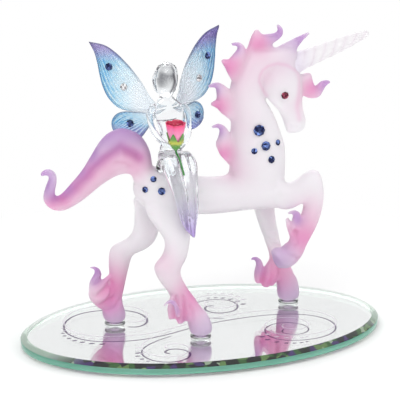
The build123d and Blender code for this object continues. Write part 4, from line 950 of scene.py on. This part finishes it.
# %% Wing places and faces
def wing_place(side, flat, lift):
    """From the wing's own plane, in shares of its span, to the figurine's space."""
    sweep = np.radians(WING_SWEEP - SWEEP_CHANGE * side)
    roll = np.radians(WING_ROLL) * side
    way = np.array((side * np.cos(sweep), np.sin(sweep), 0.0))
    up = np.array((0.0, 0.0, 1.0))
    out = np.cross(way, up)
    x_way = np.cos(roll) * way + np.sin(roll) * up
    y_way = np.cos(roll) * up - np.sin(roll) * way
    start = WING_ROOT + np.array((side * ROOT_OFFSET, 0, 0))
    in_plane = flat[:, :1] * WING_SPAN * x_way + flat[:, 1:] * WING_SPAN * y_way
    return start + in_plane + (lift * side)[:, None] * out


def plate_faces(rows, columns):
    """A front grid, a back grid that faces the other way, and strips that join their four edges."""
    count = rows * columns
    number = np.arange(count).reshape(rows, columns)
    front = grid_faces(rows, columns, False)
    parts = [front, front[:, ::-1] + count]
    for line in (number[:, 0], number[:, -1], number[-1], number[0]):
        parts.append(np.stack([line[:-1], line[1:], line[1:] + count, line[:-1] + count], 1))
    return np.concatenate(parts)


# %% [markdown]
# ## Colour melted into the wings
# The wings are nearly clear near the fairy. Cyan spreads towards the outer and lower parts, deeper
# in the veins; between the veins pale streaks are painted in, as painted highlights. The tips turn
# violet, and a dark line follows the rim. The colours are laid over each other, one after another,
# each with its own weight.


# %% Wing colours
def wing_colours(side, is_upper, flat, across, edge, main_vein, side_vein):
    """The colour of each point of a wing's face: clear glass, then blend by blend."""
    x, height = flat.T
    reach = np.hypot(x, height) / (1.0 if is_upper else 0.62)
    waves = np.sin(x * 41 + 3 * np.sin(height * 23)) * np.sin(height * 37 + 2 * np.sin(x * 29))
    mottle = 0.5 + 0.5 * waves
    outward = np.clip(reach * 1.9 - 0.75, 0, 1)
    place_share = 0.42 + 0.60 * across + 0.35 * np.exp(-edge / 4.0)
    cyan = np.clip(outward * place_share * (0.62 + 0.6 * mottle), 0, 1)
    deep = (0.8 * side_vein + 0.5 * main_vein) * cyan * 1.6 - 0.22
    # Painted highlights: pale streaks between the veins, weaker towards the violet tips
    painted_streak_highlight = (1 - main_vein) ** 2 * (1 - side_vein) * np.clip(outward + 0.2, 0, 1) * 0.6
    violet = rising(height, 0.50, 0.67) if is_upper else rising(height, -0.24, -0.38) * 0.7
    line = main_vein ** 2 * np.clip(outward + 0.25, 0, 1) * 0.42
    rim = np.exp(-((edge / 0.5) ** 2)) * np.clip(reach * 3 - 0.9, 0, 1)
    violet_tint = (0.58, 0.46, 0.76) if side < 0 else (0.42, 0.31, 0.68)
    colour = np.tile((0.88, 0.94, 0.98), (len(flat), 1))
    for weight, tint in (
        (cyan, (0.27, 0.79, 0.97)), (deep, (0.04, 0.34, 0.68)),
        (painted_streak_highlight * (1 - 0.5 * violet), (0.93, 0.97, 1.0)), (line, (0.30, 0.45, 0.70)),
        (violet * 0.85, violet_tint), (violet * line * 1.8, (0.16, 0.09, 0.40)),
        (rim * 0.85, (0.04, 0.04, 0.15)),
    ):
        colour = blend(colour, tint, np.clip(weight, 0, 1)[:, None])
    return colour


# %% One wing
def wing(name, side, top, low, material):
    """One wing: front and back of a thin plate, closed along its edges, with veins in front.

    A point is (1 - c) * upper edge + c * lower edge; c is half a cosine wave across the wing, so the
    points are close together near both edges.
    """
    upper, lower = wing_edges(name, top, low)
    along = np.linspace(0, 1, WING_ROWS)[:, None]
    across = (0.5 - 0.5 * np.cos(np.linspace(0, np.pi, WING_COLUMNS)))[None, :]
    flat = upper * (1 - across)[:, :, None] + lower * across[:, :, None]
    edge = np.minimum(across, 1 - across) * np.hypot(*(upper - lower)[:, 0].T)[:, None] * WING_SPAN
    edge = np.minimum(edge, (1 - along) * WING_SPAN * 0.9)
    bead = 0.75 + 0.5 * np.exp(-((edge - 0.55) / 0.35) ** 2)
    thick = WING_HALF * np.sqrt(np.clip(edge / 0.5, 0, 1)) * bead
    fan = across * 26 + 5.0 * along * np.sin(across * np.pi)
    twig = across * 38 + along * 22 + 2.0 * np.sin(along * 13 + across * 9)
    main_vein = np.abs(np.sin(fan * np.pi / 2)) ** 3 * np.clip(along * 6, 0, 1)
    side_vein = np.abs(np.sin(twig)) ** 3 * np.clip(along * 2.2 - 0.5, 0, 1)
    stones = np.zeros((WING_ROWS, WING_COLUMNS))
    for x, y in WING_STONES:
        stones += np.exp(-(((flat[:, :, 0] - x) ** 2 + (flat[:, :, 1] - y) ** 2) * (WING_SPAN / 2.0) ** 2))
    relief = MAIN_RELIEF * main_vein + SIDE_RELIEF * side_vein
    vein = relief * np.clip(edge / 1.5, 0, 1) * (1 - stones.clip(0, 1))
    flat = flat.reshape(-1, 2)
    front = wing_place(side, flat, (thick + vein).ravel())
    back = wing_place(side, flat, -thick.ravel())
    faces = plate_faces(WING_ROWS, WING_COLUMNS).tolist()
    mesh = raw_mesh(name, np.concatenate([front, back]), faces)
    fields = [np.broadcast_to(field, stones.shape).ravel() for field in (across, edge, main_vein, side_vein)]
    colour = wing_colours(side, name.startswith("upper"), flat, *fields)
    set_colour(mesh, "melted_colour_and_painted_light", np.concatenate([colour, colour]))
    clean_copy(mesh, mesh, GRID_GAP)
    mesh.shade_smooth()
    piece(name, mesh, material, ["fairy_" + name])


# %% Four wings
wing_glass = painted("wing_glass", "melted_colour_and_painted_light", {
    "Roughness": 0.12, "IOR": 1.48, "Transmission Weight": 0.7,
}, (450, 0.1))
for side, word in ((-1, "right"), (1, "left")):
    wing("upper_wing_" + word, side, UPPER_TOP, UPPER_LOW, wing_glass)
    wing("lower_wing_" + word, side, LOWER_TOP, LOWER_LOW, wing_glass)

# %% [markdown]
# ## Rose
# A bud of thin petals laid round each other. One petal is a bent sheet: it widens as it rises,
# hugs the bud, and its rim curls out. Five outer, four inner and three middle petals are copies of
# the same formula, turned round the bud's axis, and one side of each stands a little further out,
# so that neighbours overlap.

# %% Petal helpers
ROSE_ROOT = SADDLE + FAIRY_SCALE * np.array((0, -0.2625, 0.30))
PETAL_ROWS, PETAL_COLUMNS = 18, 25


def turned(radius, angle, height):
    """Points round the bud's upright axis, from radius, angle and height, in millimetres."""
    places = [radius * np.cos(angle), radius * np.sin(angle), height + 0 * angle]
    return np.stack(places, -1).reshape(-1, 3) + ROSE_ROOT


def petal(turn, low, high, radius, half_angle, flare, tilt):
    """A petal's grid: u goes across it, v up it; r = radius * bulge(v) + flare * v^4 near the rim."""
    v = np.linspace(0, 1, PETAL_ROWS)[:, None]
    u = np.linspace(-1, 1, PETAL_COLUMNS)[None, :]
    width = half_angle * np.sqrt(np.clip(v * 1.5 + 0.12, 0, 1))
    bulge = 0.42 + 0.62 * np.sin(np.clip(v * 1.15, 0, 1) * np.pi / 2) ** 0.8
    r = radius * bulge + flare * v ** 4 * (1 - 0.4 * u ** 2) + 0.10 * (u + 1) * v
    z = low + (high - low) * v - 0.9 * (np.abs(u) ** 3) * v ** 2 + tilt * u * v ** 2
    return turned(r, turn + u * width, z)


def petals(name, sizes, thickness, material, inside, node):
    """Several petals in one mesh, given their thickness by a Solidify modifier."""
    points = np.concatenate([petal(*values) for values in sizes])
    one = grid_faces(PETAL_ROWS, PETAL_COLUMNS, False)
    faces = [one + number * PETAL_ROWS * PETAL_COLUMNS for number in range(len(sizes))]
    mesh = raw_mesh(name, points, np.concatenate(faces).tolist())
    mesh.shade_smooth()
    v = np.tile(np.repeat(np.linspace(0, 1, PETAL_ROWS), PETAL_COLUMNS), len(sizes))[:, None]
    pink = blend((0.90, 0.20, 0.42), (0.95, 0.55, 0.68), (1 - v) ** 1.5 * 0.6)
    set_colour(mesh, "petal_colour", blend(pink, (0.80, 0.03, 0.16), v ** 5))
    item = piece(name, mesh, material, [node])
    mesh.materials.append(inside)
    wall = item.modifiers.new("wall", "SOLIDIFY")
    wall.thickness = thickness * MM
    wall.offset = -1
    wall.material_offset = 1


# %% Rose petals
FIFTH = 2 * np.pi / 5
outer_turns = [0.9 + number * FIFTH for number in range(5)]
outer = [(turn, 3.2, 11.1 - 0.5 * np.cos(turn - 4.36), 3.35, 0.80, 0.45, 0.3) for turn in outer_turns]
inner = [(0.3 + number * np.pi / 2, 5.0, 10.4, 2.35, 0.95, 0.25, 0.3) for number in range(4)]
middle = [(1.0 + number * 2.1, 6.0, 10.7, 1.25, 1.3, 0.1, 0.5) for number in range(3)]
petal_glass = painted("petal_glass", "petal_colour", {
    "Roughness": 0.22, "IOR": 1.48, "Subsurface Weight": 0.25, "Subsurface Scale": 0.0012, "Coat Weight": 0.4,
}, (700, 0.15))
deep_petal = clouded("deep_petal_glass", (0.32, 0.004, 0.03), (0.85, 0.06, 0.16), 600.0, 2.0, {
    "Roughness": 0.22, "IOR": 1.48, "Coat Weight": 0.4,
}, (700, 0.15))
petals("rose_outer", outer, 0.35, petal_glass, deep_petal, "rose_outer_petals")
petals("rose_inner", inner, 0.3, deep_petal, deep_petal, "rose_inner_petals")
petals("rose_middle", middle, 0.28, deep_petal, deep_petal, "rose_heart")

# %% [markdown]
# ## Calyx and stem
# The calyx is a green cup whose rim rises into five pointed sepals. It is turned round the bud's
# axis: the cup's outline is a radius for each height, and above the cup the height itself depends
# on the angle. A second, smaller cup inside closes it. The stem is a thin rod along a bent line.

# %% Calyx
CALYX_ROWS, CALYX_COLUMNS = 26, 60
CUP_HEIGHT, SEPAL_HEIGHT, CUP_WALL = 4.0, 3.4, 0.45
CUP_OUTLINE = ((0, 0.08, 0.25, 0.5, 0.75, 1.0), (0.30, 1.0, 1.75, 2.35, 2.95, 3.05))
angle = np.linspace(0, 2 * np.pi, CALYX_COLUMNS, endpoint=False)[None, :]
rise = np.linspace(0, 1, CALYX_ROWS)[:, None]
outline = np.interp(rise[:, 0], *CUP_OUTLINE)[:, None]
lobes = 1 + 0.09 * np.cos(angle * 5 + 0.5) * np.sin(rise * np.pi) + 0.05 * np.cos(rise * 26)
off_sepal = np.abs(((angle - 0.3) / FIFTH + 0.5) % 1 - 0.5) * 2
sepal = SEPAL_HEIGHT * np.clip(1 - off_sepal * 1.25, 0, 1) ** 0.8
height = rise ** 0.9 * (CUP_HEIGHT + np.where(rise > 0.7, sepal * ((rise - 0.7) / 0.3), 0))
ring = outline * lobes + np.clip(height - CUP_HEIGHT, 0, 5) * 0.16
outside_points = turned(ring, angle, height)
inside_points = turned((ring - CUP_WALL).clip(0.1), angle, height + 0.15 * (rise < 0.5))
count = CALYX_ROWS * CALYX_COLUMNS
top_row = np.arange(count)[-CALYX_COLUMNS:]
next_in_row = np.roll(top_row, -1)
rim_strip = np.stack([top_row, next_in_row, next_in_row + count, top_row + count], 1)
cup_faces = grid_faces(CALYX_ROWS, CALYX_COLUMNS)
calyx_mesh = new_mesh(
    "rose_leaves", np.concatenate([outside_points, inside_points]),
    np.concatenate([cup_faces, cup_faces[:, ::-1] + count, rim_strip]),
    [range(CALYX_COLUMNS), range(count, count + CALYX_COLUMNS)],
)

# %% Leaf glass
level = ((points_of(calyx_mesh)[:, 2:] - ROSE_ROOT[2]) / 4.5).clip(0, 1.4)
# Painted highlight: a yellow band round the cup, just under its rim
painted_rim_highlight = np.exp(-((level - 0.78) / 0.2) ** 2) * 0.75
set_colour(calyx_mesh, "leaf_colour_and_painted_highlight", blend((0.10, 0.36, 0.05), (0.78, 0.72, 0.10), painted_rim_highlight))
leaf_glass = painted("leaf_glass", "leaf_colour_and_painted_highlight", {
    "Roughness": 0.14, "IOR": 1.5, "Transmission Weight": 0.25, "Coat Weight": 0.6,
}, (700, 0.2))
piece("rose_leaves", calyx_mesh, leaf_glass, ["rose_calyx"])

# %% Stem
STEM_ROWS, STEM_COLUMNS = 40, 20
STEM_RADIUS = 0.42
STEM_PLACES = np.array((
    (0, 0, 0.3), (0, -0.15, -0.46), (-0.08, -1.5, -1.2),
    (-0.15, -4.9, -2.3), (0, -7.0, -5.3), (0.6, -7.75, -8.3),
))


def tube(route, radius, columns):
    """A round tube: circles square to the route, turned as little as possible from one to the next."""
    tangent = np.gradient(route, axis=0)
    tangent /= np.linalg.norm(tangent, axis=1)[:, None]
    side = np.cross(tangent[0], (0.3, 0.1, 0.9))
    sides = []
    for direction in tangent:
        side = side - direction * (side @ direction)
        side /= np.linalg.norm(side)
        sides.append(side.copy())
    sides = np.array(sides)
    other = np.cross(tangent, sides)
    angle = np.linspace(0, 2 * np.pi, columns, endpoint=False)
    ring = sides[:, None] * np.cos(angle)[None, :, None] + other[:, None] * np.sin(angle)[None, :, None]
    return (route[:, None] + ring * radius).reshape(-1, 3)


places = STEM_PLACES + ROSE_ROOT
share = np.linspace(0, len(places) - 1, STEM_ROWS)
stem_route = np.stack([np.interp(share, range(len(places)), places[:, axis]) for axis in range(3)], 1)
for _ in range(8):
    stem_route[1:-1] = (stem_route[:-2] + stem_route[2:]) / 2
stem_points = tube(stem_route, STEM_RADIUS, STEM_COLUMNS)
stem_faces, stem_caps = grid_faces(STEM_ROWS, STEM_COLUMNS), end_caps(STEM_ROWS, STEM_COLUMNS)
stem_mesh = new_mesh("rose_stalk", stem_points, stem_faces, stem_caps)
stem_glass = clouded("stem_glass", (0.02, 0.14, 0.03), (0.06, 0.28, 0.06), 900.0, 2.0, {
    "Roughness": 0.2, "IOR": 1.5, "Coat Weight": 0.4,
}, (900, 0.15))
piece("rose_stalk", stem_mesh, stem_glass, ["rose_stem"])

# %% [markdown]
# ## Mirror base
# A mirror is three things: a thick plate of float glass with a polished bevel, a silver layer
# under it, and a pad. Float glass is faintly green, which shows along the edge, where the eye
# looks through centimetres of it. The plate is a lathe-like grid of ellipses, ring after ring.

# %% Plate shape
HALF_LENGTH, HALF_WIDTH = 76.2, 50.8
PLATE_COLUMNS = 360
# Each ring: how far inside the outline it lies, and its level
PLATE_PROFILE = (
    (20, 1.03), (2.5, 1.03), (0.35, 1.03), (0.0, 1.35), (0.0, 3.45),
    (0.12, 3.62), (0.35, 3.8), (2.35, 4.93), (2.6, 5.0), (20, 5.0),
)


def plate_ring(inset, level):
    """An ellipse inside the plate's outline: (a - inset) * cos(t), (b - inset) * sin(t), at a level."""
    turns = np.linspace(0, 2 * np.pi, PLATE_COLUMNS, endpoint=False)
    x, y = (HALF_LENGTH - inset) * np.cos(turns), (HALF_WIDTH - inset) * np.sin(turns)
    return np.stack([x, y, np.full(PLATE_COLUMNS, level)], 1)


plate_rows = len(PLATE_PROFILE)
plate_points = np.concatenate([plate_ring(*ring) for ring in PLATE_PROFILE])
plate_caps = end_caps(plate_rows, PLATE_COLUMNS)
plate_mesh = new_mesh("glass_plate", plate_points, grid_faces(plate_rows, PLATE_COLUMNS), plate_caps)
print("plate", 2 * HALF_LENGTH, "by", 2 * HALF_WIDTH, "mm")

# %% [markdown]
# ## Glass of the plate
# The plate has three finishes. The top is clear. The edge is green and half clear. The bevel acts
# as a prism, and its colour is painted reflection on green glass: its far side is painted pale,
# for the bright room, and its near side is painted with many-coloured glints, which are cells of
# noise here, each with one of six colours.

# %% Plate glass
plate_glass = clouded("float_glass", (0.965, 0.985, 0.972), (0.985, 0.995, 0.99), 20.0, 1.0, {
    "Roughness": 0.0, "IOR": 1.52, "Transmission Weight": 1.0,
})
edge_glass = clouded("green_glass_edge", (0.15, 0.47, 0.34), (0.27, 0.66, 0.50), 60.0, 2.0, {
    "Roughness": 0.06, "IOR": 1.52, "Transmission Weight": 0.45,
})

# %% Bevel glass
# Where each colour starts, as a share of the cells, and the colour
GLINTS = (
    (0.0, (0.012, 0.022, 0.016)), (0.26, (0.06, 0.20, 0.05)), (0.44, (0.10, 0.055, 0.24)),
    (0.60, (0.20, 0.38, 0.12)), (0.74, (0.018, 0.02, 0.03)), (0.84, (0.52, 0.68, 0.48)),
)
PAINTED_ROOM_REFLECTION = (0.60, 0.80, 0.66)
GLINT_START, GLINT_END = -0.016, -0.030
bevel_glass, tree, principled = shader("green_bevel_painted_reflections", {
    "Roughness": 0.03, "IOR": 1.52, "Transmission Weight": 0.55,
})
place = object_place(tree)
cells = add_node(tree, "ShaderNodeTexVoronoi", {"Vector": place, "Scale": 330.0}).outputs["Color"]
cell_share = add_node(tree, "ShaderNodeSeparateXYZ", {0: cells}).outputs[0]
ramp = add_node(tree, "ShaderNodeValToRGB", {0: cell_share})
ramp.color_ramp.interpolation = "CONSTANT"
while len(ramp.color_ramp.elements) < len(GLINTS):
    ramp.color_ramp.elements.new(1.0)
for element, (position, colour) in zip(ramp.color_ramp.elements, GLINTS):
    element.position = position
    element.color = (*colour, 1)
# Painted reflections: the near side of the bevel gets the glints, the far side the pale room
depth = add_node(tree, "ShaderNodeSeparateXYZ", {0: place}).outputs[1]
near_ends = {"Value": depth, "From Min": GLINT_START, "From Max": GLINT_END}
painted_glint_share = add_node(tree, "ShaderNodeMapRange", near_ends).outputs[0]
tree.links.new(mixed(tree, painted_glint_share, PAINTED_ROOM_REFLECTION, ramp.outputs[0]), principled.inputs["Base Color"])
print("glints in", len(GLINTS), "colours")

# %% Plate
FLAT_FACES, EDGE_FACES, BEVEL_FACES = 0, 1, 2
plate = piece("glass_plate", plate_mesh, plate_glass, ["mirror_glass"])
plate.data.materials.append(edge_glass)
plate.data.materials.append(bevel_glass)
upright = np.empty(len(plate_mesh.polygons) * 3)
plate_mesh.polygons.foreach_get("normal", upright)
upright = upright.reshape(-1, 3)[:, 2]
sloping = (upright < 0.97) & (upright > 0.6)
kinds = np.where(np.abs(upright) < 0.6, EDGE_FACES, np.where(sloping, BEVEL_FACES, FLAT_FACES))
plate_mesh.polygons.foreach_set("material_index", kinds.astype(np.int32))
plate_mesh.polygons.foreach_set("use_smooth", kinds != FLAT_FACES)
print("plate faces by kind", np.bincount(kinds))

# %% [markdown]
# ## Silvering, felt and hoof discs
# The silver and the felt keep their CAD shape and only change their finish. Each standing hoof is
# fused to a small clear disc, drawn here as a ring profile turned round the hoof's own axis.


# %% Silvering and felt
def dress(node, material):
    """Give a CAD node a material in place of its own."""
    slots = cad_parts[node].data.materials
    slots.clear()
    slots.append(material)
    print(node, "in", material.name)


silver = clouded("silvering", (0.925, 0.915, 0.94), (0.955, 0.945, 0.965), 14.0, 2.0, {
    "Metallic": 1.0, "Roughness": 0.015,
})
felt = clouded("black_felt", (0.012, 0.012, 0.014), (0.06, 0.06, 0.065), 2200.0, 3.0, {
    "Roughness": 0.95, "Sheen Weight": 0.5, "Sheen Roughness": 0.5,
}, (1800, 0.8))
dress("mirror_silvering", silver)
dress("base_felt", felt)

# %% Hoof discs
DISC_COLUMNS = 72
# Radius and level of each ring of a disc, and the middle of each disc
DISC_PROFILE = (
    (0.3, 5.03), (3.9, 5.03), (4.1, 5.15), (4.25, 5.4), (4.2, 5.7), (4.0, 5.92),
    (3.7, 6.0), (3.3, 6.04), (2.9, 6.08), (2.5, 6.1), (0.3, 6.1),
)
DISC_PLACES = {
    "disc_far_hind": (-34.59, 9.80), "disc_near_hind": (-7.69, -18.40), "disc_far_fore": (43.55, 12.0),
}
disc_glass = clouded("disc_glass", (0.84, 0.91, 0.87), (0.94, 0.97, 0.95), 250.0, 1.0, {
    "Roughness": 0.02, "IOR": 1.5, "Transmission Weight": 0.97,
})
angle = np.linspace(0, 2 * np.pi, DISC_COLUMNS, endpoint=False)[None, :]
radius, level = np.array(DISC_PROFILE).T[:, :, None]
disc_faces = grid_faces(len(DISC_PROFILE), DISC_COLUMNS)
for node, (x, y) in DISC_PLACES.items():
    rings = np.stack([x + radius * np.cos(angle), y + radius * np.sin(angle), level + 0 * angle], -1)
    disc_caps = end_caps(len(DISC_PROFILE), DISC_COLUMNS)
    disc_mesh = new_mesh(node + "_ring", rings.reshape(-1, 3), disc_faces, disc_caps)
    piece(node + "_ring", disc_mesh, disc_glass, [node])

# %% [markdown]
# ## Printed scrolls
# The scrolls are printed on the glass. Their colour is painted light and shade: from above the
# ink is painted pale, as painted light, and its underside dark violet, as painted shade; that is
# what the mirror shows, shifted by the thickness of the glass. The print is a copy of the CAD
# lines, a little wider and sunk a little into the glass, and its colour depends on its height.
# The pale side is thin and lets the mirror through, so a face counts only when seen from outside.

# %% Ink
INK_LOW, INK_MIDDLE, INK_HIGH = 4.96, 5.02, 5.06
INK_WIDENING = 0.2
PAINTED_LIGHT_INK = (0.66, 0.62, 0.69)
print_ink_lit_and_shaded, tree, principled = shader("print_ink_lit_and_shaded", {"Roughness": 0.35})
place = object_place(tree)
level = add_node(tree, "ShaderNodeSeparateXYZ", {0: place}).outputs[2]
# Painted light and shade: above the middle level the ink is painted pale, below it dark violet
upper = maths(tree, "GREATER_THAN", level, INK_MIDDLE * MM)
mottle = add_node(tree, "ShaderNodeTexNoise", {"Vector": place, "Scale": 500.0, "Detail": 1.0}).outputs[0]
painted_shade_ink = mixed(tree, mottle, (0.050, 0.012, 0.100), (0.13, 0.05, 0.21))
tree.links.new(mixed(tree, upper, painted_shade_ink, PAINTED_LIGHT_INK), principled.inputs["Base Color"])
from_outside = maths(tree, "SUBTRACT", 1.0, add_node(tree, "ShaderNodeNewGeometry").outputs["Backfacing"])
thin_top = maths(tree, "SUBTRACT", 1.0, maths(tree, "MULTIPLY", upper, 0.55))
tree.links.new(maths(tree, "MULTIPLY", from_outside, thin_top), principled.inputs["Alpha"])
print("ink from", INK_LOW, "to", INK_HIGH, "mm")

# %% Print
for node in ("scroll_lines", "scroll_dots"):
    ink_mesh = bpy.data.meshes.new(node + "_ink")
    clean_copy(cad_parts[node].data, ink_mesh, NODE_GAP)
    points = points_of(ink_mesh)
    outward = normals_of(ink_mesh) * (1, 1, 0)
    outward /= np.hypot(outward[:, 0], outward[:, 1]).clip(1e-6)[:, None]
    points += outward * INK_WIDENING
    points[:, 2] = np.where(points[:, 2] < INK_HIGH, INK_LOW, INK_HIGH)
    set_points(ink_mesh, points)
    piece(node + "_ink", ink_mesh, print_ink_lit_and_shaded, [node])

# %% [markdown]
# ## Stones
# The stones keep their CAD shape, because flat facets are what makes a cut stone. Their back is
# foiled, so they look deep and dark with a few bright facets; the bright facets are painted glints,
# cells of noise painted into the stone's colour.


# %% Stones
def stone(name, dark, light, rough, size=1100.0, power=4.0):
    """Foiled crystal with painted glints: each cell of noise takes a shade; the greater the power, the fewer
    are bright.
    """
    material, tree, principled = shader(name, {"Roughness": rough, "IOR": 1.34, "Specular IOR Level": 0.4})
    facet = add_node(tree, "ShaderNodeTexVoronoi", {"Vector": object_place(tree), "Scale": size})
    shade = add_node(tree, "ShaderNodeSeparateXYZ", {0: facet.outputs["Color"]}).outputs[0]
    painted_glint = maths(tree, "POWER", shade, power)
    tree.links.new(mixed(tree, painted_glint, dark, light), principled.inputs["Base Color"])
    return material


sapphire = stone("sapphire_stone", (0.003, 0.006, 0.045), (0.22, 0.34, 0.80), 0.10)
ruby = stone("ruby_stone", (0.05, 0.002, 0.012), (0.80, 0.16, 0.26), 0.10)
white_stone = stone("clear_stone", (0.08, 0.07, 0.08), (1.0, 1.0, 1.0), 0.06, 1500.0, 0.8)
for node in ("neck_crystals", "rump_crystals", "wing_crystals_blue"):
    dress(node, sapphire)
for node in ("eye_crystal_near", "eye_crystal_far"):
    dress(node, ruby)
dress("wing_crystals_clear", white_stone)
